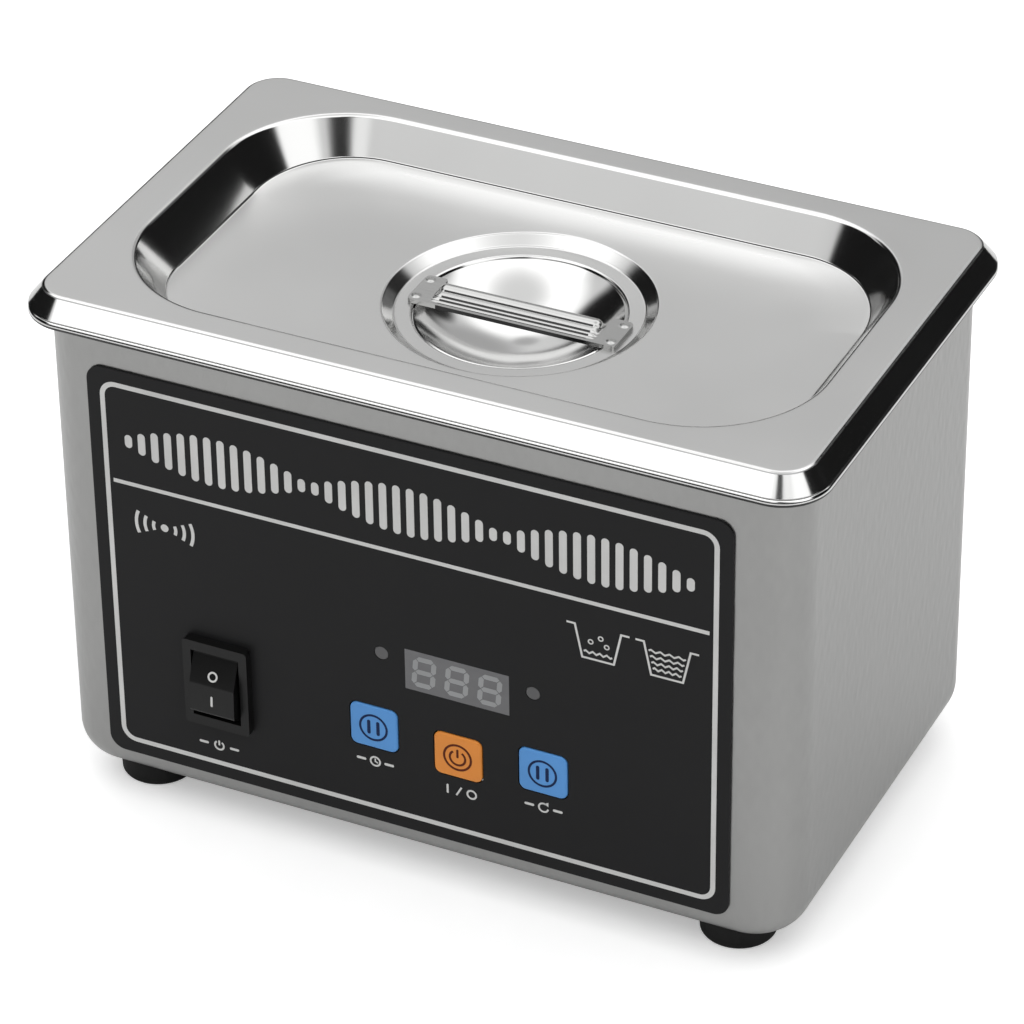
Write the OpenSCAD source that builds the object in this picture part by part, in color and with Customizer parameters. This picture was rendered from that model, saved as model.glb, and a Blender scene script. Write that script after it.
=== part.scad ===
// Bench ultrasonic cleaner: a small stainless bath with a drawn housing, a lift-off lid,
// a rocker switch, three push buttons, a bolt-clamped transducer and its driver board.
// Origin on the bench under the middle of the four feet, +Z up, +X to the right of someone
// facing the control panel, which looks along -Y. Millimetres.

/* [Housing] */
// Width of the housing
body_w = 168; // [160:1:180]
// Depth of the housing
body_d = 104; // [100:1:112]
// Radius of the housing's upright corners
body_r = 12; // [9:0.5:12]
// Radius of the housing's bottom edge
body_edge_r = 7.5; // [4:0.5:8]
// Thickness of the stainless sheet
sheet_t = 0.8; // [0.6:0.1:1]
// Height of the rubber feet
foot_h = 6; // [5:0.5:10]
// Radius of the rubber feet
foot_r = 8.3; // [7:0.1:9]

/* [Tank and lid] */
// Width over the rolled rim of the tank
rim_w = 176; // [174:1:180]
// Depth over the rolled rim of the tank
rim_d = 108; // [106:1:112]
// Height of the lid's flat border above the bench
lid_top_z = 121.8; // [120:0.1:126]
// Depth of the bath from its rim to its floor
tank_depth = 65; // [60:1:67]
// Depth of the recess pressed into the lid
recess_depth = 9.4; // [8:0.1:11]
// Radius of the finger dish in the lid
dish_r = 28.5; // [26:0.5:30]

/* [Control panel] */
// Width of the printed panel
panel_w = 143; // [130:1:146]
// Height of the printed panel
panel_h = 95.7; // [90:0.1:98]
// Width of a push button
button_w = 10.8; // [9:0.1:12]
// Height of a push button
button_h = 10.4; // [9:0.1:12]
// Travel of a push button
button_travel = 0.5; // [0.3:0.05:0.6]
// Angle of the rocker from its middle position
rocker_tilt = 12; // [8:1:13]

/* [Transducer] */
// Radius of the transducer's front mass at the tank
horn_r = 22.5; // [20:0.5:24]
// Radius of the ceramic rings
ring_r = 19; // [17:0.5:20]

/* [Hidden] */
fine = 64;
touch = 0.02;

body_z = foot_h;
cover_top_z = body_z + 2 * sheet_t;
front_y = -body_d / 2;
rear_y = body_d / 2;

// The rim and the lid's border share the axes of their upright corners
rim_r = 10.5;
rim_cx = rim_w / 2 - rim_r;
rim_cy = rim_d / 2 - rim_r;
flange_r = rim_r - 5;
border_r = rim_r - 6;
skirt_angle = 51;
lid_gap = 0.3;
flange_z = lid_top_z - sheet_t - lid_gap;
bead_r = 1;
bead_z = lid_top_z - 5.35;
hem_z = bead_z + bead_r + lid_gap;
housing_top_z = bead_z - 0.45;

// Bath walls and lid recess share a larger corner
bath_cx = 48.4;
bath_cy = 16.3;
bath_u = 27.6;
recess_u = 28;
bath_round_r = 10;
bath_flat_u = bath_u - 2.7 - bath_round_r - 1;
bath_mouth_u = bath_u + 3.2;
bath_floor_z = flange_z - tank_depth;
tank_t = 0.7;
tank_under_z = bath_floor_z - tank_t;
recess_flat_u = recess_u - 8.2;
recess_z = lid_top_z - recess_depth;
recess_slope = 56.8;
dish_x = 1;
ledge_z = recess_z - 2;
ledge_r = 25.2;
bowl_r = 22;
bowl_sag = 9;
bowl_arc_r = (bowl_r * bowl_r + bowl_sag * bowl_sag) / (2 * bowl_sag);
handle_x = 1.6;
handle_y = -1.2;
handle_l = 47;
handle_w = 10.4;

panel_t = 0.5;
panel_y = front_y - panel_t;
panel_z = body_z + 7.2;
display_x = 11.1;
display_z = 54;
window_w = 23.5;
window_h = 9.8;
led_x = 17.05;
led_z = 56.2;
button_pitch = 19.2;
side_button_z = 37.1;
mid_button_z = 35.3;
button_proud = 0.35;
switch_x = -44;
switch_z = 37.6;
bezel_w = 15;
bezel_h = 21;
bezel_t = 2;
rocker_y = panel_y + 2.5;

board_y = front_y + 7.4;
board_t = 1.6;
pillar_x = [-10, 34];
pillar_z = [28.5, 60];
driver_x = -50;
driver_w = 48;
driver_l = 64;
driver_z = cover_top_z + 6;
driver_top = driver_z + board_t;
inlet_x = 46;
inlet_z = 30;
inlet_tab_y = rear_y - 25;
stud_x = 62;
stud_y = 4;
foot_x = 68;
foot_y = 38.5;

// Transducer stack, from the tank down: horn, electrode and ring twice, electrode, back mass
horn_h = 18;
disc_t = 0.3;
ring_t = 5;
stack_step = disc_t + ring_t;
horn_z = tank_under_z - horn_h;
back_h = 10;
back_z = horn_z - 3 * disc_t - 2 * ring_t - back_h;
tab_angle = 150;
tab_end_r = ring_r + 5;
cap_x = -36.4;

// Points along an arc, the vector at right angles to a step, and a sheet laid along a path
function arc(c, r, a, b, n = 6) =
    [for (i = [0:n]) c + r * [cos(a + (b - a) * i / n), sin(a + (b - a) * i / n)]];
function side(a, b) = [b.y - a.y, a.x - b.x] / norm(b - a);
function mitre(m, n) = (m + n) / (1 + m * n);
function normal_at(p, i) =
    i == 0 ? side(p[0], p[1]) :
    i == len(p) - 1 ? side(p[i - 1], p[i]) :
    mitre(side(p[i - 1], p[i]), side(p[i], p[i + 1]));
function sheet(p, t) = concat(p, [for (i = [len(p) - 1:-1:0]) p[i] + t * normal_at(p, i)]);

// Cubic curve for the wires
function bezier(a, b, c, d, n = 14) =
    [for (i = [0:n]) let (t = i / n, s = 1 - t)
        s * s * s * a + 3 * s * s * t * b + 3 * s * t * t * c + t * t * t * d];

// Flat outline with four equal round corners
module round_rect(hw, hd, r) {
    square([2 * (hw - r), 2 * hd], center = true);
    square([2 * hw, 2 * (hd - r)], center = true);
    for (sx = [-1, 1], sy = [-1, 1])
        translate([sx * (hw - r), sy * (hd - r)])
            circle(r, $fn = fine);
}

// Profile drawn in (distance from the corner axis, height), taken round a rounded rectangle
module round_path(cx, cy) {
    for (i = [0, 1, 2, 3])
        translate([(i == 0 || i == 3 ? 1 : -1) * cx, (i < 2 ? 1 : -1) * cy, 0])
            rotate([0, 0, 90 * i])
                rotate_extrude(angle = 90, $fn = fine)
                    children();
    for (i = [0, 1])
        rotate([0, 0, 180 * i]) {
            translate([cx, cy, 0])
                rotate([90, 0, 0])
                    linear_extrude(2 * cy)
                        children();
            rotate([0, 0, 90])
                translate([cy, cx, 0])
                    rotate([90, 0, 0])
                        linear_extrude(2 * cx)
                            children();
        }
}

// Cylinder along Y, from y to the rear, and a box centred in X and Z
module rod_y(x, y, z, r, l) {
    translate([x, y, z])
        rotate([-90, 0, 0])
            cylinder(h = l, r = r, $fn = fine);
}
module box_y(x, y, z, w, l, h) {
    translate([x - w / 2, y, z - h / 2])
        cube([w, l, h]);
}
// Plate with round corners that faces the front
module plate_y(x, y, z, w, h, t, r) {
    translate([x, y + t, z])
        rotate([90, 0, 0])
            linear_extrude(t)
                round_rect(w / 2, h / 2, r);
}
// Places its children on four points of a rectangle
module at_corners(x, y) {
    for (sx = [-1, 1], sy = [-1, 1])
        translate([sx * x, sy * y, 0])
            children();
}

// Tube swept along points, with an upright width and a level width
module wire(path, r, flat = 1, ref = [0.21, 0.13, 1]) {
    n = len(path);
    m = 8;
    dirs = [for (i = [0:n - 1])
        let (d = path[min(i + 1, n - 1)] - path[max(i - 1, 0)]) d / norm(d)];
    pts = [for (i = [0:n - 1])
        let (u = cross(dirs[i], ref) / norm(cross(dirs[i], ref)), v = cross(u, dirs[i]))
        for (k = [0:m - 1])
            path[i] + r * flat * cos(360 * k / m) * u + r * sin(360 * k / m) * v];
    walls = [for (i = [0:n - 2], k = [0:m - 1], f = [0, 1])
        let (a = i * m + k, b = i * m + (k + 1) % m)
            f == 0 ? [a, b, b + m] : [a, b + m, a + m]];
    polyhedron(points = pts, faces = concat(walls,
        [[for (k = [m - 1:-1:0]) k]], [[for (k = [0:m - 1]) (n - 1) * m + k]]), convexity = 6);
}

// ---- Housing ----

module housing_profile() {
    u = body_r;
    e = body_edge_r;
    outer = concat([[0, body_z]], arc([u - e, body_z + e], e, -90, 0), [[u, housing_top_z]]);
    polygon(sheet(outer, -sheet_t));
    translate([u - 5, housing_top_z - sheet_t])
        square([5, sheet_t]);
}
module housing() {
    cx = body_w / 2 - body_r;
    cy = body_d / 2 - body_r;
    color("silver") difference() {
        union() {
            round_path(cx, cy)
                housing_profile();
            translate([0, 0, body_z])
                linear_extrude(sheet_t)
                    difference() {
                        square([2 * cx, 2 * cy], center = true);
                        round_rect(60, 28, 6);
                    }
        }
        at_corners(foot_x, foot_y)
            translate([0, 0, body_z - 1])
                cylinder(h = 3, r = 2.2, $fn = fine);
        // Openings in the front wall behind the panel
        box_y(switch_x, front_y - 1, switch_z, 13.7, 3, 19.2);
        box_y(display_x, front_y - 1, display_z, window_w - 3, 3, window_h - 2);
        for (s = [-1, 1])
            rod_y(display_x + s * led_x, front_y - 1, led_z, 1.6, 3);
        for (i = [-1, 0, 1])
            plate_y(display_x + i * button_pitch, front_y - 1, i == 0 ? mid_button_z : side_button_z,
                button_w + 0.5, button_h + 0.5, 3, 1.85);
        // Mains inlet cut-out with its two screw holes
        box_y(inlet_x, rear_y - 2, inlet_z, 28, 4, 20.6);
        for (s = [-1, 1])
            rod_y(inlet_x + s * 20, rear_y - 2, inlet_z, 1.7, 4);
        // Cooling slots in the rear wall
        for (i = [0:6])
            box_y(-56 + 7 * i, rear_y - 2, 34, 2.6, 4, 22);
    }
}

module bottom_cover() {
    color("gainsboro") difference() {
        translate([0, 0, body_z + sheet_t])
            linear_extrude(sheet_t)
                round_rect(76, 44, 6);
        at_corners(foot_x, foot_y)
            translate([0, 0, body_z])
                cylinder(h = 3, r = 2.2, $fn = fine);
        translate([stud_x, stud_y, body_z])
            cylinder(h = 3, r = 2.1, $fn = fine);
        for (x = [-22:6:44], y = [-18, 12])
            translate([x - 1.25, y - 9, body_z])
                cube([2.5, 18, 3]);
    }
}

module foot(x, y) {
    color("black") translate([x, y, 0]) difference() {
        rotate_extrude($fn = fine)
            polygon(concat([[0, 0]], arc([foot_r - 1.2, 1], 1, -90, -8, 5), [[foot_r, foot_h], [0, foot_h]]));
        translate([0, 0, -1])
            cylinder(h = 4, r = 4.2, $fn = fine);
        cylinder(h = foot_h + 1, r = 2.2, $fn = fine);
    }
}
module left_front_foot() { foot(-foot_x, -foot_y); }
module right_front_foot() { foot(foot_x, -foot_y); }
module left_rear_foot() { foot(-foot_x, foot_y); }
module right_rear_foot() { foot(foot_x, foot_y); }

module foot_screws() {
    color("silver") at_corners(foot_x, foot_y) {
        translate([0, 0, 1])
            difference() {
                cylinder(h = 2, r = 3.6, $fn = fine);
                for (a = [0, 90])
                    rotate([0, 0, a])
                        translate([-2, -0.4, -1])
                            cube([4, 0.8, 1.9]);
            }
        translate([0, 0, 3 - touch])
            cylinder(h = cover_top_z + 4.5 - 3, r = 1.95, $fn = fine);
    }
}
module foot_nuts() {
    color("silver") at_corners(foot_x, foot_y)
        translate([0, 0, cover_top_z])
            difference() {
                cylinder(h = 3.2, r = 4.04, $fn = 6);
                translate([0, 0, -1])
                    cylinder(h = 6, r = 2, $fn = fine);
            }
}

// ---- Tank ----

function rim_path() = concat([[flange_r, flange_z]],
    arc([flange_r + 0.2, flange_z - 0.8], 0.8, 90, 90 - skirt_angle, 4),
    [[rim_r - bead_r - 0.6, bead_z + 0.25]]);
function bath_path() = concat([[bath_flat_u, bath_floor_z]],
    arc([bath_flat_u + 1, bath_floor_z + bath_round_r], bath_round_r, -90, 0),
    arc([bath_mouth_u - 1, flange_z - 2.2], 2.2, 180, 90, 5),
    [[bath_mouth_u, flange_z]]);
module tank() {
    color("silver") {
        round_path(rim_cx, rim_cy)
            union() {
                polygon(sheet(rim_path(), tank_t));
                translate([rim_r - bead_r, bead_z])
                    circle(bead_r, $fn = 24);
            }
        translate([0, 0, flange_z - tank_t])
            linear_extrude(tank_t)
                difference() {
                    round_rect(rim_cx + flange_r, rim_cy + flange_r, flange_r);
                    round_rect(bath_cx + bath_mouth_u, bath_cy + bath_mouth_u, bath_mouth_u);
                }
        round_path(bath_cx, bath_cy)
            polygon(sheet(bath_path(), tank_t));
        translate([0, 0, bath_floor_z - tank_t])
            linear_extrude(tank_t)
                round_rect(bath_cx + bath_flat_u, bath_cy + bath_flat_u, bath_flat_u);
    }
}
module rim_seal() {
    color("white")
        translate([0, 0, housing_top_z])
            linear_extrude(flange_z - tank_t - housing_top_z - touch)
                difference() {
                    round_rect(body_w / 2 - 1, body_d / 2 - 3.2, 8);
                    round_rect(body_w / 2 - 4.6, body_d / 2 - 5.6, 8);
                }
}

// ---- Lid ----

function lid_skirt() = concat([[border_r, lid_top_z]],
    arc([border_r + 1.9, lid_top_z - 1.2], 1.2, 90, 90 - skirt_angle, 4),
    [[rim_r - 0.2, hem_z]]);
function recess_wall() = concat([[recess_flat_u, recess_z]],
    arc([recess_flat_u + 1, recess_z + 0.8], 0.8, -90, recess_slope - 90, 3),
    arc([recess_u, lid_top_z - 1.3], 1.3, 90 + recess_slope, 90, 4),
    [[recess_u + 1, lid_top_z]]);
function dish_path() = concat([[0, ledge_z - bowl_sag]],
    arc([0, ledge_z + bowl_arc_r - bowl_sag], bowl_arc_r, -87, -90 + asin(bowl_r / bowl_arc_r), 8),
    [[bowl_r + 0.6, ledge_z], [ledge_r, ledge_z], [dish_r - 0.5, recess_z - 0.2],
     [dish_r, recess_z], [dish_r + 1, recess_z]]);
module lid() {
    color("silver") {
        round_path(rim_cx, rim_cy)
            difference() {
                polygon(sheet(lid_skirt(), sheet_t));
                translate([border_r + 1, hem_z - 2])
                    square([8, 2]);
            }
        translate([0, 0, lid_top_z - sheet_t])
            linear_extrude(sheet_t)
                difference() {
                    round_rect(rim_cx + border_r, rim_cy + border_r, border_r);
                    round_rect(bath_cx + recess_u + 1, bath_cy + recess_u + 1, recess_u + 1);
                }
        round_path(bath_cx, bath_cy)
            polygon(sheet(recess_wall(), sheet_t));
        translate([0, 0, recess_z - sheet_t])
            linear_extrude(sheet_t)
                difference() {
                    round_rect(bath_cx + recess_flat_u, bath_cy + recess_flat_u, recess_flat_u);
                    translate([dish_x, 0])
                        circle(dish_r + 1, $fn = fine);
                }
        translate([dish_x, 0, 0])
            rotate_extrude($fn = fine)
                polygon(sheet(dish_path(), sheet_t));
    }
}
module lid_handle() {
    tab_t = 0.9;
    arch_l = 37;
    rib_r = 1.7;
    tab_l = (handle_l - arch_l) / 2;
    arch_w = handle_w / 2 + 0.6 + rib_r;
    color("gainsboro") translate([handle_x, handle_y, ledge_z]) {
        // Flat tabs at both ends, and a narrower strap that ends behind the rib
        linear_extrude(tab_t) {
            for (s = [-1, 1])
                translate([s * (handle_l - tab_l) / 2, 0])
                    round_rect(tab_l / 2, handle_w / 2, 1.2);
            translate([-arch_l / 2 - 1.3, -handle_w / 2])
                square([arch_l + 2.6, arch_w]);
        }
        // Raised rib that the fingers pull on
        translate([0, 0.6, tab_t])
            difference() {
                union() {
                    rotate([0, 90, 0])
                        cylinder(h = arch_l - 2 * rib_r, r = rib_r, center = true, $fn = fine);
                    for (s = [-1, 1])
                        translate([s * (arch_l / 2 - rib_r), 0, 0])
                            sphere(rib_r, $fn = fine);
                }
                translate([0, 0, -2.5])
                    cube([arch_l + 2, 6, 5], center = true);
            }
    }
}

// ---- Control panel ----

module front_panel() {
    color([0.16, 0.16, 0.17]) difference() {
        plate_y(0, panel_y, panel_z + panel_h / 2, panel_w, panel_h, panel_t, 3.5);
        box_y(switch_x, panel_y - 1, switch_z, 13.7, 3, 19.2);
        box_y(display_x, panel_y - 1, display_z, window_w, 3, window_h);
        for (s = [-1, 1])
            rod_y(display_x + s * led_x, panel_y - 1, led_z, 1.6, 3);
        for (i = [-1, 0, 1])
            plate_y(display_x + i * button_pitch, panel_y - 1, i == 0 ? mid_button_z : side_button_z,
                button_w + 0.5, button_h + 0.5, 3, 1.85);
    }
}
module display_window() {
    color([0.3, 0.3, 0.32, 0.6])
        box_y(display_x, panel_y, display_z, window_w, panel_t, window_h);
}
module display_module() {
    color("dimgray")
        box_y(display_x, front_y + sheet_t + 0.2, display_z, 22.6, board_y - front_y - sheet_t - 0.2, 14);
}
module indicator_leds() {
    color("gainsboro") for (s = [-1, 1]) {
        rod_y(display_x + s * led_x, panel_y + 0.1, led_z, 1.5, 5.4);
        rod_y(display_x + s * led_x, front_y + 5, led_z, 1.9, board_y - front_y - 5);
    }
}
module control_board() {
    color("darkgreen") difference() {
        translate([pillar_x[0] - 4, board_y, pillar_z[0] - 3])
            cube([pillar_x[1] - pillar_x[0] + 8, board_t, pillar_z[1] - pillar_z[0] + 6]);
        for (x = pillar_x, z = pillar_z)
            rod_y(x, board_y - 1, z, 1.3, 4);
    }
}
module board_pillars() {
    color("silver") for (x = pillar_x, z = pillar_z)
        rod_y(x, front_y + sheet_t, z, 2.5, board_y - front_y - sheet_t);
}
module tact_switches() {
    color("dimgray") for (i = [-1, 0, 1]) {
        x = display_x + i * button_pitch;
        z = i == 0 ? mid_button_z : side_button_z;
        box_y(x, board_y - 3.6, z, 6, 3.6, 6);
        rod_y(x, board_y - 4.6, z, 1.7, 1 + touch);
    }
}
module push_button(i, tint) {
    x = display_x + i * button_pitch;
    z = i == 0 ? mid_button_z : side_button_z;
    cap_t = 2.5;
    cap_y = panel_y - button_proud;
    stem_end = board_y - 4.6 - button_travel - 0.05;
    color(tint) {
        plate_y(x, cap_y, z, button_w, button_h, cap_t, 1.6);
        rod_y(x, cap_y + cap_t - touch, z, 2.4, stem_end - cap_y - cap_t + touch);
    }
}
module time_button() { push_button(-1, [0.35, 0.62, 0.9]); }
module on_off_button() { push_button(0, [0.93, 0.53, 0.2]); }
module reset_button() { push_button(1, [0.35, 0.62, 0.9]); }

module switch_body() {
    color([0.12, 0.12, 0.12]) difference() {
        union() {
            plate_y(switch_x, panel_y - bezel_t, switch_z, bezel_w, bezel_h, bezel_t, 0.8);
            box_y(switch_x, panel_y - touch, switch_z, 13.5, 15, 19);
        }
        box_y(switch_x, panel_y - bezel_t - 1, switch_z, 11.2, bezel_t + 2, 16.4);
        box_y(switch_x, panel_y, switch_z, 11.2, 12.5, 17.4);
        translate([switch_x, rocker_y, switch_z])
            rotate([0, 90, 0])
                cylinder(h = 12.6, r = 1.25, center = true, $fn = fine);
    }
}
module power_rocker() {
    half = [[-6.5, 0], [-5.41, 6.9], [-3.3, 7.5], [0, 7.5], [3, 4], [3.6, 2]];
    outline = concat(half, [for (i = [5:-1:1]) [half[i].x, -half[i].y]]);
    color([0.1, 0.1, 0.1]) translate([switch_x, rocker_y, switch_z])
        rotate([-rocker_tilt, 0, 0]) {
            translate([-5.2, 0, 0])
                rotate([90, 0, 90])
                    linear_extrude(10.4)
                        polygon(outline);
            rotate([0, 90, 0])
                cylinder(h = 12.4, r = 1.2, center = true, $fn = fine);
        }
}
module switch_terminals() {
    color("silver") for (z = [-5, 5])
        box_y(switch_x, panel_y + 15 - touch, switch_z + z, 4.8, 8, 0.8);
}

// ---- Transducer ----

module transducer_horn() {
    collar_h = 4;
    color("lightgray") difference() {
        union() {
            translate([0, 0, tank_under_z - collar_h])
                cylinder(h = collar_h, r = horn_r, $fn = fine);
            translate([0, 0, horn_z])
                cylinder(h = horn_h - collar_h + touch, r1 = ring_r, r2 = horn_r, $fn = fine);
        }
        translate([0, 0, horn_z - 1])
            cylinder(h = 12, r = 5, $fn = fine);
    }
}
module ring(z, h, r, bore) {
    translate([0, 0, z])
        difference() {
            cylinder(h = h, r = r, $fn = fine);
            translate([0, 0, -1])
                cylinder(h = h + 2, r = bore, $fn = fine);
        }
}
module piezo_rings() {
    color("lightgoldenrodyellow") for (i = [0, 1])
        ring(horn_z - stack_step * (i + 1), ring_t, ring_r, 7.5);
}
module transducer_electrodes() {
    color("peru") for (i = [0, 1, 2])
        translate([0, 0, horn_z - disc_t - stack_step * i])
            difference() {
                union() {
                    cylinder(h = disc_t, r = ring_r, $fn = fine);
                    rotate([0, 0, tab_angle])
                        translate([ring_r - 1, -2, 0])
                            cube([tab_end_r - ring_r + 1, 4, disc_t]);
                }
                translate([0, 0, -1])
                    cylinder(h = 3, r = 7.5, $fn = fine);
            }
}
module transducer_back_mass() {
    color("dimgray")
        ring(back_z, back_h, ring_r, 5.3);
}
module transducer_bolt() {
    color("silver") {
        translate([0, 0, back_z - 6])
            cylinder(h = 6, r = 8.6, $fn = 6);
        translate([0, 0, back_z - touch])
            cylinder(h = horn_z - back_z + 9, r = 4.98, $fn = fine);
    }
}
module bolt_sleeve() {
    color("ivory")
        ring(back_z + back_h, horn_z - back_z - back_h, 7.3, 5.2);
}

// ---- Driver board ----

module driver_board() {
    color("darkgreen") difference() {
        translate([driver_x - driver_w / 2, -driver_l / 2, driver_z])
            cube([driver_w, driver_l, board_t]);
        translate([driver_x, 0, driver_z - 1])
            at_corners(20.5, 28.5)
                cylinder(h = 4, r = 1.6, $fn = fine);
    }
}
module board_standoffs() {
    color("silver") translate([driver_x, 0, cover_top_z])
        at_corners(20.5, 28.5)
            difference() {
                cylinder(h = 6, r = 2.9, $fn = 6);
                translate([0, 0, -1])
                    cylinder(h = 8, r = 1.5, $fn = fine);
            }
}
module board_screws() {
    color("silver") translate([driver_x, 0, 0])
        at_corners(20.5, 28.5) {
            translate([0, 0, driver_top])
                cylinder(h = 1.8, r = 2.7, $fn = fine);
            translate([0, 0, driver_z - 4])
                cylinder(h = 4 + board_t + touch, r = 1.45, $fn = fine);
        }
}
module transformer_core() {
    color("dimgray") translate([-44, 18, driver_top]) {
        for (s = [-1, 1])
            translate([s * 10.5 - 2.5, -6, 0])
                cube([5, 12, 20]);
        for (z = [0, 15])
            translate([-13, -6, z])
                cube([26, 12, 5]);
        translate([-3, -6, 0])
            cube([6, 12, 20]);
    }
}
module transformer_winding() {
    color("goldenrod") translate([-44, 18, driver_top + 5.2])
        difference() {
            translate([-7.6, -9.5, 0])
                cube([15.2, 19, 9.6]);
            translate([-3.2, -6.2, -1])
                cube([6.4, 12.4, 12]);
        }
}
module heat_sink() {
    color("darkgray") translate([-73.5, -20, driver_top]) {
        translate([7.5, 0, 0])
            cube([2.5, 40, 24]);
        for (i = [0:6])
            translate([0, 0.5 + 6.2 * i, 0])
                cube([7.5 + touch, 1.8, 24]);
    }
}
module power_transistors() {
    color([0.15, 0.15, 0.15]) for (y = [-10, 10])
        translate([-63.5, y - 5, driver_top + 4]) {
            cube([4.5, 10, 9]);
            cube([1.3, 10, 15.5]);
            for (p = [-2.5, 0, 2.5])
                translate([2, 5 + p - 0.4, -4])
                    cube([0.6, 0.8, 4 + touch]);
        }
}
module filter_capacitors() {
    color("navy") for (y = [-19, -5])
        translate([cap_x, y, driver_top]) {
            cylinder(h = 20, r = 6.2, $fn = fine);
            cylinder(h = 1.5, r = 6.4, $fn = fine);
        }
}
module toroid_inductor() {
    color("gold") translate([-51, -6, driver_top + 2.9])
        rotate_extrude($fn = fine)
            translate([4.7, 0])
                circle(2.8, $fn = 24);
}
module mains_fuse() {
    color("ivory") translate([-59.8, 29.2, driver_top + 4]) {
        rotate([0, 90, 0])
            cylinder(h = 15, r = 2.5, center = true, $fn = fine);
        for (s = [-1, 1])
            translate([s * 6, 0, -2])
                cube([3, 5.4, 4], center = true);
    }
}
module terminal_block() {
    color("seagreen") translate([-62, -31, driver_top])
        cube([18, 8, 9]);
}

// ---- Mains inlet ----

module power_inlet() {
    color([0.12, 0.12, 0.12]) difference() {
        union() {
            translate([inlet_x, rear_y + 3, inlet_z])
                rotate([90, 0, 0])
                    linear_extrude(3)
                        round_rect(25, 11.3, 5);
            box_y(inlet_x, rear_y - 18, inlet_z, 27.4, 18 + touch, 20);
        }
        box_y(inlet_x, rear_y - 14, inlet_z, 24.4, 20, 16.6);
        for (s = [-1, 1])
            rod_y(inlet_x + s * 20, rear_y - 1, inlet_z, 1.7, 5);
    }
}
module inlet_pins() {
    color("silver") for (p = [[-7, -2], [7, -2], [0, 2]]) {
        box_y(inlet_x + p.x, rear_y - 14, inlet_z + p.y, 2, 13, 4);
        box_y(inlet_x + p.x, inlet_tab_y, inlet_z + p.y, 0.8, 7, 4.8);
    }
}
module inlet_screws() {
    color("silver") for (s = [-1, 1]) {
        rod_y(inlet_x + s * 20, rear_y + 3, inlet_z, 2.8, 1.6);
        rod_y(inlet_x + s * 20, rear_y - 5, inlet_z, 1.5, 8 + touch);
    }
}
module earth_stud() {
    color("goldenrod") translate([stud_x, stud_y, 0]) {
        translate([0, 0, cover_top_z])
            cylinder(h = 3.2, r = 4.04, $fn = 6);
        translate([0, 0, body_z + sheet_t])
            cylinder(h = 9, r = 1.95, $fn = fine);
        // Ring terminal under the wire
        translate([0, 0, cover_top_z + 3.2 - touch]) {
            cylinder(h = 0.8, r = 4, $fn = fine);
            translate([-1.5, 0, 0])
                cube([3, 9, 0.8]);
        }
    }
}

// ---- Wiring held inside ----

module mains_wires() {
    y = inlet_tab_y - 0.2;
    color("firebrick") for (s = [0, 1])
        wire(bezier([inlet_x - 7 + 14 * s, y, inlet_z - 2], [inlet_x - 3 + 8 * s, -24, 16 - 2 * s],
            [6 + 6 * s, -50, 15 + 4 * s], [-43.2, -28.6, 18.6 + 3.6 * s], 22), 1.1);
}
module switch_wires() {
    start_y = panel_y + 23.2;
    color("firebrick") for (s = [0, 1])
        wire(bezier([switch_x, start_y, switch_z - 5 + 10 * s],
            [switch_x, start_y + 6 + 8 * s, switch_z - 5 + 10 * s],
            [-49 - 8 * s, start_y + 5 + 9 * s, 31 + 9 * s], [-49 - 8 * s, -27, driver_top + 9.7], 12),
            1, 1, [1, 0.2, 0.1]);
}
module earth_wire() {
    color("green")
        wire(bezier([inlet_x, inlet_tab_y - 0.2, inlet_z + 2], [inlet_x, 14, 36], [stud_x, 20, 34],
            [stud_x, stud_y + 8, cover_top_z + 4.2], 12), 1, 1, [1, 0.2, 0.1]);
}
module transducer_wires() {
    tab_end = (tab_end_r + 0.2) * [cos(tab_angle), sin(tab_angle)];
    color("ivory") for (i = [0, 1]) {
        z = horn_z - disc_t / 2 - stack_step * (1 + i);
        wire(bezier([tab_end.x, tab_end.y, z], [tab_end.x - 4, tab_end.y + 2, z],
            [-28.7, 22 - 6 * i, 28 - 6 * i], [-28.7, 22 - 6 * i, driver_top + 0.1], 10),
            0.8, 1, [1, 0.9, 0.1]);
    }
}
module display_cable() {
    plug_h = 6;
    cable_x = -28.5;
    color("gray")
        wire(bezier([-8, board_y + board_t + plug_h - 0.5, 40], [-8, -30, 40], [cable_x, -2, 40],
            [cable_x, 6, driver_top + plug_h - 0.5], 12), 0.5, 6, [1, 0.1, 0.1]);
    color("ivory") {
        box_y(-8, board_y + board_t, 40, 3.4, plug_h, 9);
        translate([cable_x - 1.7, 1.5, driver_top])
            cube([3.4, 9, plug_h]);
    }
}

housing();
bottom_cover();
tank();
rim_seal();
front_panel();
display_window();
display_module();
indicator_leds();
control_board();
tact_switches();
board_pillars();
switch_body();
switch_terminals();
power_rocker();
time_button();
on_off_button();
reset_button();
transducer_horn();
piezo_rings();
transducer_electrodes();
transducer_back_mass();
transducer_bolt();
bolt_sleeve();
driver_board();
board_standoffs();
board_screws();
transformer_core();
transformer_winding();
heat_sink();
power_transistors();
filter_capacitors();
toroid_inductor();
mains_fuse();
terminal_block();
power_inlet();
inlet_pins();
inlet_screws();
earth_stud();
mains_wires();
switch_wires();
earth_wire();
transducer_wires();
display_cable();
left_front_foot();
right_front_foot();
left_rear_foot();
right_rear_foot();
foot_screws();
foot_nuts();
lid();
lid_handle();
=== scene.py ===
"""Looks of a bench ultrasonic cleaner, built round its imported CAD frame. Lengths are in millimetres
until a mesh is made; MM turns them into metres."""
import math

import bmesh
import bpy
from mathutils import Matrix, Vector


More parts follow.
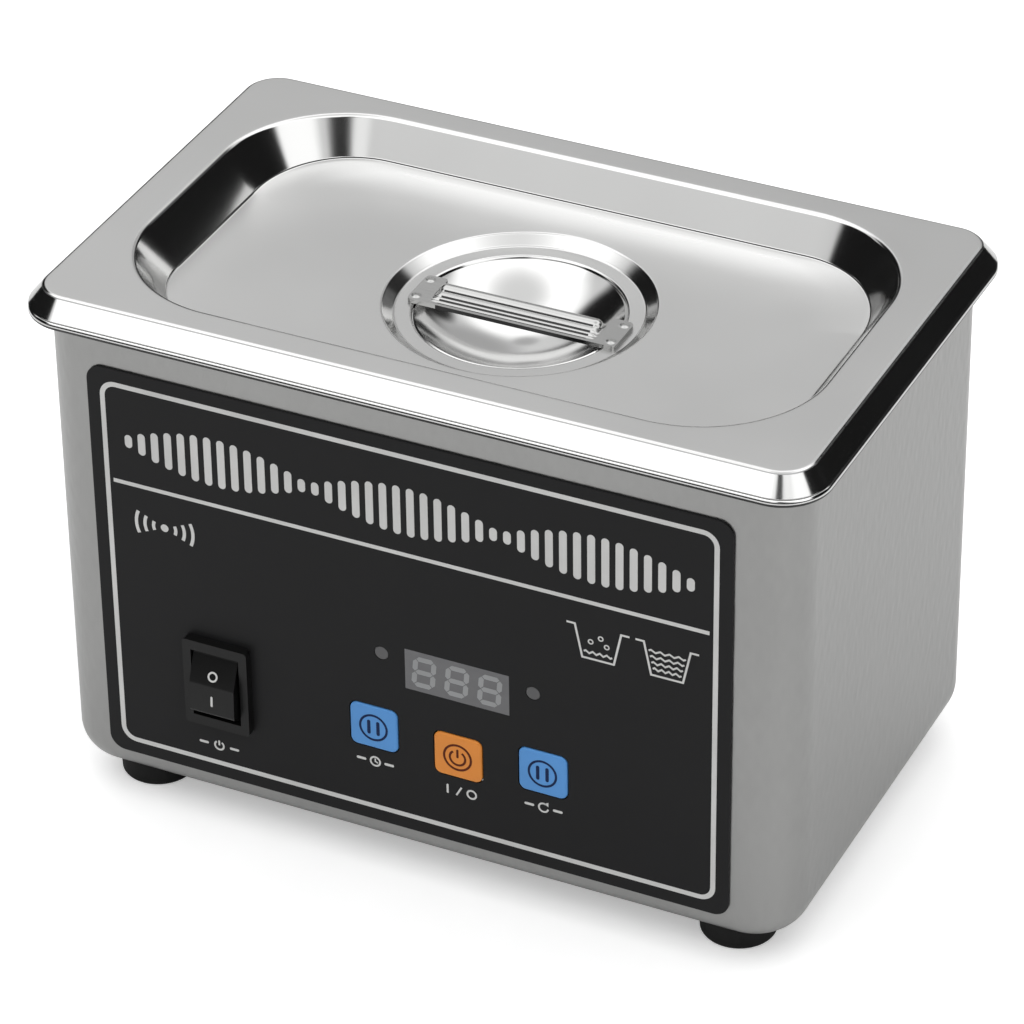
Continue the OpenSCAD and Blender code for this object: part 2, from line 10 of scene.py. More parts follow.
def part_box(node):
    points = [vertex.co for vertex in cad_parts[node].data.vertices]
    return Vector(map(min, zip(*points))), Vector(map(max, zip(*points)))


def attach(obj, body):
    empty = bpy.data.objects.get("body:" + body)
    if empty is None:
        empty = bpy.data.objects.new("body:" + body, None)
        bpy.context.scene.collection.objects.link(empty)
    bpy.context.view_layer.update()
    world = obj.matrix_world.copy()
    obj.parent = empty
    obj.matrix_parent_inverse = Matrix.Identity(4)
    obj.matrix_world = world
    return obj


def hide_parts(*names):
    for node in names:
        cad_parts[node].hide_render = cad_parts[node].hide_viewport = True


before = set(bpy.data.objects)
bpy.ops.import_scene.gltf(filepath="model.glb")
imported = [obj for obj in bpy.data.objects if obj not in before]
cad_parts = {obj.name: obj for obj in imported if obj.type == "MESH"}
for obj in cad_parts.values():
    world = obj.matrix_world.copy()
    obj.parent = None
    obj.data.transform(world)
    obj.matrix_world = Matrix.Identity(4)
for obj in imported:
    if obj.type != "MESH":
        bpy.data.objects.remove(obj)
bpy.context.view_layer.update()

MM = 0.001
# Faces that meet at more than this angle, in degrees, keep a sharp edge
SHARP_ANGLE = 38
# Steps round each corner of a ring, and along half of its long and short sides
CORNER_STEPS, LONG_STEPS, SHORT_STEPS = 24, 5, 3
QUARTER_STEPS = CORNER_STEPS + LONG_STEPS + SHORT_STEPS
RING_STEPS = 4 * QUARTER_STEPS


def box_mm(node):
    """Lowest and highest corner of a CAD node, in millimetres."""
    lo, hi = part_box(node)
    return lo / MM, hi / MM


# ---- Driving sizes ----
# A rounded rectangle is given by its corner axes (CX, CY) and by its distance u outwards from them.

housing_lo, housing_hi = box_mm("housing")
tank_lo, tank_hi = box_mm("tank")
panel_lo, panel_hi = box_mm("front_panel")
window_lo, window_hi = box_mm("display_window")
bezel_lo, bezel_hi = box_mm("switch_body")
BUTTONS = ("time_button", "on_off_button", "reset_button")

# Sheet thicknesses
SHEET, TANK_SHEET = 0.8, 0.7

# Housing: upright corners and the rounded edge at the bottom
BODY_R, BODY_EDGE_R = 12.0, 7.5

# Rim: its corners, and where the bath's flange and the lid's border begin to turn down
RIM_R = 10.5
FLANGE_R, BORDER_R = RIM_R - 5, RIM_R - 6
RIM_CX, RIM_CY = tank_hi.x - RIM_R, tank_hi.y - RIM_R
LID_TOP, FLANGE_Z = box_mm("lid")[1].z, tank_hi.z

# Skirt of the lid, which ends just above the rolled bead
BEAD_R = 1.0
BEAD_Z = LID_TOP - 5.35
HEM_Z = BEAD_Z + BEAD_R + 0.3
SKIRT_ANGLE = 39

# Bath: corner axes, wall, mouth, round at the floor and flat of the floor
BATH_CX, BATH_CY = 48.4, 16.3
BATH_U = 27.6
BATH_MOUTH_U = BATH_U + 3.2
BATH_ROUND_R = 10.0
BATH_FLAT_U = BATH_U - 2.7 - BATH_ROUND_R - 1
BATH_FLOOR = tank_lo.z + TANK_SHEET

# Recess of the lid, about the bath's corner axes: top and foot of its wall, depth and slope
RECESS_U = 28.0
RECESS_FLAT_U = RECESS_U - 8.2
RECESS_Z = LID_TOP - 9.4
RECESS_SLOPE = 56.8
# The recess floor curls up at the back, over this width and by this much
CURL_WIDTH, CURL_RISE = 10.5, 1.6
# Rings between dish and recess, and rings of the recess that count as its foot
FLOOR_RINGS, FOOT_RINGS = 7, 7
# Painted shade darkens the recess's crease behind this line
CREASE_FRONT = -14

# Finger dish: middle, radius, the ledge in it and the bowl below
DISH_X, DISH_R = 1.0, 28.5
LEDGE_Z, LEDGE_R = RECESS_Z - 2.0, 25.2
BOWL_R, BOWL_SAG = 22.0, 9.0
BOWL_ARC = (BOWL_R ** 2 + BOWL_SAG ** 2) / (2 * BOWL_SAG)

PANEL_FACE = panel_lo.y

# Embossing of the housing: distances across and along, and height
SWELL_PITCH, SWELL_ROWS, SWELL_HEIGHT = 3.4, 6.4, 0.022


# ---- Profiles and meshes ----

def arc(cu, cz, r, start, end, steps):
    """Points along an arc, in degrees, as (u, z)."""
    return [(cu + r * math.cos(math.radians(start + (end - start) * i / steps)),
             cz + r * math.sin(math.radians(start + (end - start) * i / steps)))
            for i in range(steps + 1)]


def offset(path, t):
    """The path moved t to its right, with mitred corners."""
    def right(a, b):
        d = math.hypot(b[0] - a[0], b[1] - a[1])
        return (b[1] - a[1]) / d, (a[0] - b[0]) / d

    moved = []
    for i, (u, z) in enumerate(path):
        m = right(path[i - 1], path[i]) if i else right(path[0], path[1])
        n = right(path[i], path[i + 1]) if i < len(path) - 1 else m
        k = t / (1 + m[0] * n[0] + m[1] * n[1])
        moved.append((u + k * (m[0] + n[0]), z + k * (m[1] + n[1])))
    return moved


def ring(cx, cy, x0, u, z):
    """A rounded rectangle about corner axes (cx, cy), or a circle about x0 where both are 0."""
    points = []
    for q in range(4):
        ca, cb = (cx, cy) if q % 2 == 0 else (cy, cx)
        first, last = (SHORT_STEPS, LONG_STEPS) if q % 2 == 0 else (LONG_STEPS, SHORT_STEPS)
        if cx == cy == 0:
            angles = [math.pi / 2 * k / QUARTER_STEPS for k in range(QUARTER_STEPS)]
            local = [(u * math.cos(angle), u * math.sin(angle)) for angle in angles]
        else:
            local = [(ca + u, cb * k / first) for k in range(first)]
            local += [(ca + a, cb + b) for a, b in arc(0, 0, u, 0, 90, CORNER_STEPS)[:-1]]
            local += [(ca * (1 - k / last), cb + u) for k in range(last)]
        turn = [(1, 0), (0, 1), (-1, 0), (0, -1)][q]
        points += [(x0 + a * turn[0] - b * turn[1], a * turn[1] + b * turn[0], z) for a, b in local]
    return points


def stations(parts):
    """Rings for a list of (cx, cy, x0, path)."""
    return [ring(cx, cy, x0, u, z) for cx, cy, x0, path in parts for u, z in path]


def add_object(name, bm, material, smooth=True):
    """Turns a finished bmesh into an object of the scene."""
    bmesh.ops.recalc_face_normals(bm, faces=bm.faces)
    mesh = bpy.data.meshes.new(name)
    bm.to_mesh(mesh)
    bm.free()
    if smooth:
        mesh.shade_smooth()
        mesh.set_sharp_from_angle(angle=math.radians(SHARP_ANGLE))
    mesh.materials.append(material)
    obj = bpy.data.objects.new(name, mesh)
    bpy.context.scene.collection.objects.link(obj)
    return obj


def loft(name, rings, material, closed=True, wrap=False):
    """A closed surface through rings of points. A ring of no radius becomes a pole; open ends get a face.
    With wrap, a UV map holds the distance round the widest ring and along the profile, in metres."""
    bm = bmesh.new()
    loops = []
    for points in rings:
        spread = max((Vector(p) - Vector(points[0])).length for p in points)
        loops.append([bm.verts.new(Vector(points[0]) * MM)] if spread < 1e-6
                     else [bm.verts.new(Vector(p) * MM) for p in points])
    uv = bm.loops.layers.uv.new("wrap") if wrap else None
    pairs = list(zip(range(len(loops)), range(1, len(loops))))
    if closed:
        pairs.append((len(loops) - 1, 0))
    around = [0.0]
    widest = max(rings, key=lambda points: points[0][0])
    for i in range(RING_STEPS):
        around.append(around[-1] + (Vector(widest[(i + 1) % RING_STEPS]) - Vector(widest[i])).length)
    along = [0.0]
    for before, after in zip(rings, rings[1:]):
        along.append(along[-1] + (Vector(after[0]) - Vector(before[0])).length)
    for i, j in pairs:
        a, b = loops[i], loops[j]
        if len(a) == len(b) == 1:
            continue
        for k in range(RING_STEPS):
            n = (k + 1) % RING_STEPS
            if len(a) == 1:
                corners = [(a[0], k, i), (b[k], k, j), (b[n], k + 1, j)]
            elif len(b) == 1:
                corners = [(a[k], k, i), (b[0], k, j), (a[n], k + 1, i)]
            else:
                corners = [(a[k], k, i), (b[k], k, j), (b[n], k + 1, j), (a[n], k + 1, i)]
            face = bm.faces.new([c[0] for c in corners])
            if uv:
                for loop, (_, col, row) in zip(face.loops, corners):
                    loop[uv].uv = (around[col] * MM, along[row] * MM)
    if not closed:
        for end in (loops[0], loops[-1]):
            if len(end) > 1:
                bm.faces.new(end)
    return add_object(name, bm, material)


def weighted(obj):
    """Keeps wide flat faces flat beside their rounded edges."""
    mod = obj.modifiers.new("weighted", "WEIGHTED_NORMAL")
    mod.weight = 100
    mod.keep_sharp = True
    return obj


def apply_all(obj):
    """Applies the object's modifiers to its mesh."""
    graph = bpy.context.evaluated_depsgraph_get()
    mesh = bpy.data.meshes.new_from_object(obj.evaluated_get(graph))
    obj.modifiers.clear()
    obj.data = mesh
    return obj


def cut(obj, boxes):
    """Cuts boxes, each (low corner, high corner), out of the object."""
    bm = bmesh.new()
    for lo, hi in boxes:
        lo, hi = Vector(lo), Vector(hi)
        spot = Matrix.Translation((lo + hi) / 2 * MM) @ Matrix.Diagonal(((hi - lo) * MM).to_4d())
        bmesh.ops.create_cube(bm, size=1, matrix=spot)
    cutter = add_object("cutter", bm, obj.data.materials[0], smooth=False)
    mod = obj.modifiers.new("cut", "BOOLEAN")
    mod.object = cutter
    mod.solver = "EXACT"
    apply_all(obj)
    bpy.data.objects.remove(cutter)
    return obj


def place(obj, body, slot, *replaced):
    """Makes a piece ride on its body and hides the CAD nodes that it stands for. The slot is not used."""
    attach(obj, body)
    if replaced:
        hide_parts(*replaced)
    return obj


# ---- Node helpers ----

class Nodes:
    """A material's node tree with short calls for the nodes used here."""

    def __init__(self, name):
        self.material = bpy.data.materials.new(name)
        self.material.use_nodes = True
        self.tree = self.material.node_tree
        self.shader = next(n for n in self.tree.nodes if n.type == "BSDF_PRINCIPLED")

    def add(self, kind, **inputs):
        node = self.tree.nodes.new(kind)
        for key, value in inputs.items():
            self.feed(node, key.replace("_", " "), value)
        return node

    def feed(self, node, key, value):
        """Sets an input of a node, or links it."""
        socket = node.inputs[key]
        if isinstance(value, bpy.types.NodeSocket):
            self.tree.links.new(value, socket)
        else:
            socket.default_value = value

    def set(self, **inputs):
        """Sets inputs of the material's shader."""
        for key, value in inputs.items():
            self.feed(self.shader, key.replace("_", " "), value)

    def place(self, scale=(1, 1, 1), kind="Object"):
        """Coordinates on the object, stretched by scale."""
        where = self.add("ShaderNodeTexCoord")
        mapping = self.add("ShaderNodeMapping", Vector=where.outputs[kind], Scale=scale)
        return mapping.outputs["Vector"]

    def noise(self, vector, scale, detail=3.0):
        node = self.add("ShaderNodeTexNoise", Vector=vector, Scale=scale, Detail=detail, Roughness=0.55)
        return node.outputs["Fac"]

    def spread(self, value, low, high, source=(0.3, 0.7)):
        """Maps a noise value to low..high."""
        node = self.add("ShaderNodeMapRange", Value=value)
        node.inputs["From Min"].default_value = source[0]
        node.inputs["From Max"].default_value = source[1]
        node.inputs["To Min"].default_value = low
        node.inputs["To Max"].default_value = high
        return node.outputs["Result"]

    def tone(self, value, dark, light, source=(0.3, 0.7)):
        """Mixes two colours by a noise value."""
        node = self.tree.nodes.new("ShaderNodeMix")
        node.data_type = "RGBA"
        self.tree.links.new(self.spread(value, 0, 1, source), node.inputs[0])
        node.inputs[6].default_value = (*dark, 1)
        node.inputs[7].default_value = (*light, 1)
        return node.outputs[2]

    def calc(self, operation, a, b=0.0):
        """One arithmetic step on two values."""
        node = self.tree.nodes.new("ShaderNodeMath")
        node.operation = operation
        self.feed(node, 0, a)
        self.feed(node, 1, b)
        return node.outputs[0]

    def bump(self, height, distance, under=None):
        """A surface tilted by a height map, distance metres high, over another such surface."""
        node = self.add("ShaderNodeBump", Height=height, Distance=distance)
        if under is not None:
            self.feed(node, "Normal", under)
        return node.outputs["Normal"]


def shade(color, factor):
    """The colour made darker or lighter."""
    return tuple(min(1.0, c * factor) for c in color)


# A noise range that no value leaves, so that a polished sheet shows no line where it would be cut off.
WIDE = (0.0, 1.0)


def steel(name, color, rough, grain=(1, 1, 1), grain_scale=900.0, grain_bump=0.000004, spread=0.04):
    """Stainless sheet: a fine grain stretched along one way, with soft smudges in its gloss."""
    m = Nodes(name)
    fine = m.noise(m.place(grain), grain_scale, 4.0)
    smudge = m.noise(m.place(), 28.0, 4.0)
    gloss = m.spread(smudge, rough - spread, rough + spread, WIDE)
    m.set(Metallic=1.0, Roughness=m.calc("ADD", m.spread(fine, -spread, spread), gloss),
          Base_Color=m.tone(smudge, shade(color, 0.94), shade(color, 1.06), WIDE),
          Normal=m.bump(fine, grain_bump))
    return m.material


def lid_steel(name, color, satin, polished):
    """Pressed lid: satin on its flat faces, polished on its walls and in the bowl."""
    m = Nodes(name)
    smudge = m.noise(m.place(), 24.0, 2.0)
    normal = m.add("ShaderNodeNewGeometry").outputs["Normal"]
    upward = m.add("ShaderNodeSeparateXYZ", Vector=normal).outputs["Z"]
    flat = m.spread(upward, 0, 1, (0.9, 0.985))
    away = m.add("ShaderNodeVectorMath")
    away.operation = "DISTANCE"
    m.feed(away, 0, m.place((1, 1, 0)))
    m.feed(away, 1, (DISH_X * MM, 0, 0))
    outside = m.spread(away.outputs["Value"], 0, 1, (BOWL_R * MM, (BOWL_R + 0.8) * MM))
    rough = m.tree.nodes.new("ShaderNodeMix")
    rough.data_type = "FLOAT"
    m.feed(rough, 0, m.calc("MULTIPLY", flat, outside))
    m.feed(rough, 2, m.spread(smudge, polished - 0.02, polished + 0.03, WIDE))
    m.feed(rough, 3, m.spread(smudge, satin - 0.06, satin + 0.06, WIDE))
    m.set(Metallic=1.0, Roughness=rough.outputs[0],
          Base_Color=m.tone(smudge, shade(color, 0.94), shade(color, 1.06), WIDE))
    return m.material


def plastic(name, color, rough, texture=2600.0, depth=0.000008, coat=0.0, wear=1.15, gloss=0.5):
    """Moulded plastic, rubber or film: a fine texture and slightly uneven tone."""
    m = Nodes(name)
    fine = m.noise(m.place(), texture, 3.0)
    patch = m.noise(m.place(), 60.0, 3.0)
    m.set(Base_Color=m.tone(patch, color, shade(color, wear)), Metallic=0.0,
          Roughness=m.spread(patch, rough - 0.03, rough + 0.03), Normal=m.bump(fine, depth))
    m.set(Coat_Weight=coat, Coat_Roughness=0.12, Specular_IOR_Level=gloss)
    return m.material


def metal(name, color, rough, marks=(1, 1, 1), scale=700.0):
    """Turned, plated or cast metal inside the housing."""
    m = Nodes(name)
    fine = m.noise(m.place(marks), scale, 3.0)
    m.set(Metallic=1.0, Base_Color=m.tone(fine, shade(color, 0.9), color),
          Roughness=m.spread(fine, rough - 0.05, rough + 0.08), Normal=m.bump(fine, 0.000006))
    return m.material


def embossed_steel(name, color, rough):
    """Linen-embossed sheet: soft swells in rows and columns, broken up by irregular upright ripples, with a
    painted highlight that makes the swells a little lighter.
    """
    m = Nodes(name)
    where = m.add("ShaderNodeUVMap")
    where.uv_map = "wrap"
    along = m.add("ShaderNodeSeparateXYZ", Vector=where.outputs["UV"])
    across = m.calc("COSINE", m.calc("MULTIPLY", along.outputs["X"], math.tau / (SWELL_PITCH * MM)))
    down = m.calc("COSINE", m.calc("MULTIPLY", along.outputs["Y"], math.tau / (SWELL_ROWS * MM)))
    upright = m.add("ShaderNodeMapping", Vector=where.outputs["UV"], Scale=(1, 0.4, 1))
    ripples = m.spread(m.noise(upright.outputs["Vector"], 480.0, 1.0), -1, 1)
    swell = m.calc("ADD", m.calc("MULTIPLY", m.calc("MULTIPLY", across, down), 0.45), ripples)
    fine = m.noise(m.place((1, 1, 0.3)), 1500.0, 4.0)
    smudge = m.noise(m.place(), 18.0)
    # Random smudged tone, plus a painted highlight that lightens the raised swells
    smudge_and_swell_sheen = m.calc("ADD", smudge, m.calc("MULTIPLY", swell, 0.06))
    m.set(Metallic=1.0, Base_Color=m.tone(smudge_and_swell_sheen, shade(color, 0.95), shade(color, 1.05)),
          Roughness=m.spread(smudge, rough - 0.02, rough + 0.03),
          Normal=m.bump(swell, SWELL_HEIGHT * MM, under=m.bump(fine, 0.000004)))
    return m.material


def glass_front(name, color):
    """Smoked display window: dark body under a gloss coat."""
    m = Nodes(name)
    haze = m.noise(m.place(), 200.0, 2.0)
    m.set(Base_Color=m.tone(haze, color, shade(color, 1.2)), Roughness=m.spread(haze, 0.28, 0.34),
          Normal=m.bump(haze, 0.000004))
    m.set(Coat_Weight=0.6, Coat_Roughness=0.15)
    return m.material


M_HOUSING = embossed_steel("embossed_steel", (0.32, 0.32, 0.315), 0.3)
M_LID = lid_steel("lid_steel", (0.62, 0.62, 0.615), 0.3, 0.11)
# Painted reflection: darker grey metal for a thin line along the lid's shoulder
M_SHOULDER_LINE = metal("painted_shoulder_reflection", (0.33, 0.33, 0.33), 0.3)
# Painted shade: near-black metal for the recess's crease, the bead's underside and the handle's grooves and
# front edge
M_PAINTED_SHADE = metal("painted_crease_shade", (0.05, 0.05, 0.05), 0.4)
M_BATH = steel("bath_steel", (0.62, 0.62, 0.615), 0.2, grain=(1, 1, 0.25))
M_RIM = steel("rim_steel", (0.66, 0.66, 0.655), 0.1)
M_HANDLE = steel("handle_steel", (0.44, 0.44, 0.435), 0.2, grain=(0.15, 1, 1))
M_COVER = steel("cover_steel", (0.55, 0.55, 0.55), 0.32, grain=(0.2, 1, 1))
M_PANEL = plastic("panel_film", (0.011, 0.011, 0.0115), 0.42, depth=0.000006, gloss=0.14)
M_INK = plastic("white_ink", (0.6, 0.6, 0.59), 0.45, depth=0.000003, gloss=0.2)
M_GREY_INK = plastic("grey_segments", (0.27, 0.275, 0.28), 0.4, depth=0.000003)
M_BLUE_INK = plastic("dark_blue_ink", (0.006, 0.018, 0.07), 0.5, depth=0.000003, gloss=0.15)
M_BROWN_INK = plastic("brown_ink", (0.1, 0.018, 0.005), 0.5, depth=0.000003, gloss=0.15)
M_WINDOW = glass_front("smoked_window", (0.095, 0.095, 0.1))
M_LED = plastic("frosted_lens", (0.075, 0.075, 0.077), 0.35, coat=0.2)
M_BLUE = plastic("blue_cap", (0.09, 0.29, 0.65), 0.38, texture=1800.0, gloss=0.3)
M_ORANGE = plastic("orange_cap", (0.72, 0.25, 0.04), 0.38, texture=1800.0, gloss=0.3)
M_SWITCH = plastic("switch_plastic", (0.006, 0.006, 0.006), 0.3, texture=3000.0, depth=0.00001, gloss=0.25)
M_BLACK = plastic("black_plastic", (0.02, 0.02, 0.02), 0.5)
M_RUBBER = plastic("foot_rubber", (0.009, 0.009, 0.009), 0.62, texture=1400.0, depth=0.00002, gloss=0.2)
M_SILICONE = plastic("white_silicone", (0.75, 0.75, 0.72), 0.55)
M_BOARD = plastic("solder_mask", (0.01, 0.09, 0.03), 0.3, coat=0.4, wear=1.6)
M_PLATED = metal("plated_steel", (0.72, 0.71, 0.68), 0.28)
M_BRASS = metal("brass", (0.75, 0.55, 0.24), 0.28)
M_ALUMINIUM = metal("turned_aluminium", (0.76, 0.77, 0.78), 0.32, marks=(1, 1, 8))
M_COPPER = metal("copper_sheet", (0.8, 0.42, 0.27), 0.3)
M_MASS = metal("turned_mass", (0.35, 0.35, 0.37), 0.35, marks=(1, 1, 8))
M_ENAMEL = metal("enamelled_wire", (0.5, 0.2, 0.06), 0.32, marks=(1, 1, 12))
M_CERAMIC = plastic("piezo_ceramic", (0.5, 0.45, 0.32), 0.55, depth=0.00001)
M_WHITE = plastic("white_insulator", (0.75, 0.74, 0.68), 0.5)
M_FERRITE = plastic("ferrite", (0.035, 0.035, 0.04), 0.6, depth=0.00002)
M_SLEEVE = plastic("capacitor_sleeve", (0.01, 0.02, 0.12), 0.3, coat=0.4)
M_GREEN = plastic("green_plastic", (0.03, 0.25, 0.09), 0.45)
M_RED = plastic("red_insulation", (0.45, 0.02, 0.015), 0.45)
M_EARTH = plastic("green_insulation", (0.06, 0.3, 0.05), 0.45)
M_GREY = plastic("grey_insulation", (0.35, 0.35, 0.35), 0.5)


# ---- Lid ----

# Radii of its bends, from the middle outwards: bowl edge, ledge, dish lip, recess foot, recess brow, shoulder
BOWL_EDGE_R, LEDGE_FOOT_R, LIP_R, FOOT_R, BROW_R, SHOULDER_R = 0.75, 1.0, 0.9, 0.8, 1.3, 1.2
# Rows of faces of the shoulder that get a painted dark reflection line
SHOULDER_LINE_ROWS = (6, 7)


def lid_profiles():
    """The lid's upper surface from the middle of the dish to the hem of the skirt."""
    end = -90 + math.degrees(math.asin(BOWL_R / BOWL_ARC))
    bowl = arc(0, LEDGE_Z + BOWL_ARC - BOWL_SAG, BOWL_ARC, -87, end - 1, 14)
    edge = arc(BOWL_R + BOWL_EDGE_R, LEDGE_Z - BOWL_EDGE_R, BOWL_EDGE_R, 165, 90, 5)
    wall = arc(LEDGE_R + 0.3, LEDGE_Z + LEDGE_FOOT_R, LEDGE_FOOT_R, -90, -40, 5)
    lip = arc(DISH_R + 0.3, RECESS_Z - LIP_R, LIP_R, 140, 90, 5)
    dish = [(0.0, LEDGE_Z - BOWL_SAG)] + bowl + edge + wall + lip + [(DISH_R + 1.4, RECESS_Z)]
    foot = arc(RECESS_FLAT_U + 1, RECESS_Z + FOOT_R, FOOT_R, -90, RECESS_SLOPE - 90, 5)
    brow = arc(RECESS_U, LID_TOP - BROW_R, BROW_R, 90 + RECESS_SLOPE, 90, 7)
    recess = [(RECESS_FLAT_U, RECESS_Z)] + foot + brow + [(RECESS_U + 1, LID_TOP)]
    shoulder = arc(BORDER_R + 1.9, LID_TOP - SHOULDER_R, SHOULDER_R, 90, SKIRT_ANGLE, 7)
    skirt = [(BORDER_R, LID_TOP)] + shoulder
    skirt.append((RIM_R - 0.2, HEM_Z))
    return [(0, 0, DISH_X, dish), (BATH_CX, BATH_CY, 0, recess), (RIM_CX, RIM_CY, 0, skirt)]


def curled(x, y, z):
    """A point of the recess floor, which rises towards the back wall and stays on that wall's slope."""
    out_x, out_y = max(abs(x) - BATH_CX, 0), max(y - BATH_CY, 0)
    u = math.hypot(out_x, out_y)
    t = min(1, max(0, (u - RECESS_FLAT_U + CURL_WIDTH) / CURL_WIDTH))
    if t == 0:
        return x, y, z
    rise = CURL_RISE * t * t * out_y / u
    back = rise / math.tan(math.radians(RECESS_SLOPE))
    return x + math.copysign(back * out_x / u, x), y + back * out_y / u, z + rise


def lid_side(profiles):
    """Rings of one face of the lid, and the row where its foot ends and the one where its skirt starts.
    The round dish widens into the rounded recess in even steps."""
    dish, recess, skirt = (stations([part]) for part in profiles)
    between = [[tuple(Vector(a).lerp(Vector(b), k / FLOOR_RINGS)) for a, b in zip(dish[-1], recess[0])]
               for k in range(1, FLOOR_RINGS)]
    floor = dish + between + recess[:FOOT_RINGS]
    floor = [[curled(*point) for point in points] for points in floor]
    return floor + recess[FOOT_RINGS:] + skirt, len(floor), len(floor) + len(recess) - FOOT_RINGS


def make_lid():
    """The pressed lid, with painted shade in the recess's crease and a painted dark reflection line on its
    shoulder.
    """
    top = lid_profiles()
    under = [(cx, cy, x0, offset(path, SHEET)) for cx, cy, x0, path in top]
    under[0][3][0] = (0.0, under[0][3][0][1])
    rings, foot_end, skirt_start = lid_side(top)
    rings += lid_side(under)[0][::-1]
    shell = loft("lid_shell", rings, M_LID)
    shell.data.materials.append(M_PAINTED_SHADE)
    shell.data.materials.append(M_SHOULDER_LINE)
    # Painted shade in the recess's crease, and a painted dark reflection line along the shoulder
    for face in shell.data.polygons:
        row = face.index // RING_STEPS
        if row in (foot_end - 4, foot_end - 3) and face.center.y > CREASE_FRONT * MM:
            face.material_index = 1
        elif row - skirt_start in SHOULDER_LINE_ROWS:
            face.material_index = 2
    return weighted(shell)


place(make_lid(), "lid_body", "lid_steel", "lid")


# ---- Tank ----

# Radii of the bath's mouth and of the bend from the flange down to the bead
MOUTH_R, FLANGE_BEND_R = 2.2, 0.8


def tank_profiles():
    """The bath from the middle of its floor to its mouth, and its rim from the flange to the bead."""
    rounding = arc(BATH_FLAT_U + 1, BATH_FLOOR + BATH_ROUND_R, BATH_ROUND_R, -90, 0, 12)
    mouth = arc(BATH_MOUTH_U - 1, FLANGE_Z - MOUTH_R, MOUTH_R, 180, 90, 8)
    bath = [(BATH_FLAT_U, BATH_FLOOR)] + rounding + mouth + [(BATH_MOUTH_U, FLANGE_Z)]
    bend = arc(FLANGE_R + 0.2, FLANGE_Z - FLANGE_BEND_R, FLANGE_BEND_R, 90, SKIRT_ANGLE, 6)
    rim = [(FLANGE_R, FLANGE_Z)] + bend
    rim.append((RIM_R - BEAD_R - 0.6, BEAD_Z + 0.25))
    return [(BATH_CX, BATH_CY, 0, bath), (RIM_CX, RIM_CY, 0, rim)]


def make_tank():
    """The drawn bath with its flange."""
    top = tank_profiles()
    under = [(cx, cy, x0, offset(path, TANK_SHEET)) for cx, cy, x0, path in top]
    shell = loft("tank_shell", stations(top) + stations(under)[::-1], M_BATH, closed=False)
    return weighted(shell)


def make_bead():
    """Rolled bead, with painted shade on its underside."""
    outline = arc(RIM_R - BEAD_R, BEAD_Z, BEAD_R, 0, 360, 24)[:-1]
    bead = loft("tank_bead", stations([(RIM_CX, RIM_CY, 0, outline)]), M_RIM)
    bead.data.materials.append(M_PAINTED_SHADE)
    # Painted shade: near-black faces on the lower side of the bead, where the gap under it is in shadow
    for face in bead.data.polygons:
        if face.center.z < (BEAD_Z - 0.1 * BEAD_R) * MM:
            face.material_index = 1
    return bead


place(make_tank(), "base", "bath_steel", "tank")
place(make_bead(), "base", "bath_steel")


# ---- Housing ----

# Opening in the bottom: corner axes and radius
OPENING_CX, OPENING_CY, OPENING_R = 54, 22, 6.0
# Cooling slots in the back: number, distance apart, middle of the first, half width, bottom and top
SLOTS, SLOT_PITCH, SLOT_X, SLOT_HALF_W, SLOT_LOW, SLOT_HIGH = 7, 7, -56, 1.3, 23, 45


def front_hole(lo, hi, margin_x, margin_z):
    """A box through the front wall, round a piece and the margins about it."""
    face = housing_lo.y
    return (lo.x - margin_x, face - 1, lo.z - margin_z), (hi.x + margin_x, face + 2, hi.z + margin_z)


def housing_holes():
    """Boxes for the window, the buttons, the switch, the mains inlet and the cooling slots."""
    holes = [front_hole(window_lo, window_hi, -1.5, -1.5)]
    holes += [front_hole(*box_mm(name), 0.25, 0.25) for name in BUTTONS]
    holes.append(front_hole(bezel_lo, bezel_hi, -0.65, -0.9))
    back = housing_hi.y
    inlet_lo, inlet_hi = box_mm("power_inlet")
    middle = (inlet_lo.x + inlet_hi.x) / 2
    holes.append(((middle - 14, back - 2, inlet_lo.z + 1), (middle + 14, back + 2, inlet_hi.z - 1)))
    for i in range(SLOTS):
        x = SLOT_X + SLOT_PITCH * i
        holes.append(((x - SLOT_HALF_W, back - 2, SLOT_LOW), (x + SLOT_HALF_W, back + 2, SLOT_HIGH)))
    return holes


def make_housing():
    """The embossed shell, open below and above."""
    cx, cy = housing_hi.x - BODY_R, housing_hi.y - BODY_R
    bottom, top = housing_lo.z, housing_hi.z
    lower = arc(BODY_R - BODY_EDGE_R, bottom + BODY_EDGE_R, BODY_EDGE_R, -90, 0, 14)
    upper = arc(BODY_R - 0.8, top - 0.8, 0.8, 0, 90, 5)
    wall = [(0.5, bottom)] + lower + [(BODY_R, top - 60)] + upper + [(BODY_R - 5, top)]
    opening = (OPENING_CX, OPENING_CY, 0, [(OPENING_R, bottom)])
    opening_in = (OPENING_CX, OPENING_CY, 0, [(OPENING_R, bottom + SHEET)])
    rings = stations([opening, (cx, cy, 0, wall)])
    rings += stations([opening_in, (cx, cy, 0, offset(wall, -SHEET))])[::-1]
    shell = loft("housing_shell", rings, M_HOUSING, wrap=True)
    return weighted(cut(shell, housing_holes()))


place(make_housing(), "base", "housing_steel", "housing")


# ---- Outlines and thin prints ----

def stroke(points, width, closed=False):
    """Quads of a line of even width with mitred corners."""
    run = points[-1:] + points + points[:1] if closed else points
    a, b = offset(run, width / 2), offset(run, -width / 2)
    if closed:
        a, b = a[1:-1] + a[1:2], b[1:-1] + b[1:2]
    return [[a[i], a[i + 1], b[i + 1], b[i]] for i in range(len(a) - 1)]


def circle(x, z, r, steps=28):
    """The outline of a disc."""
    return arc(x, z, r, 0, 360, steps)[:-1]


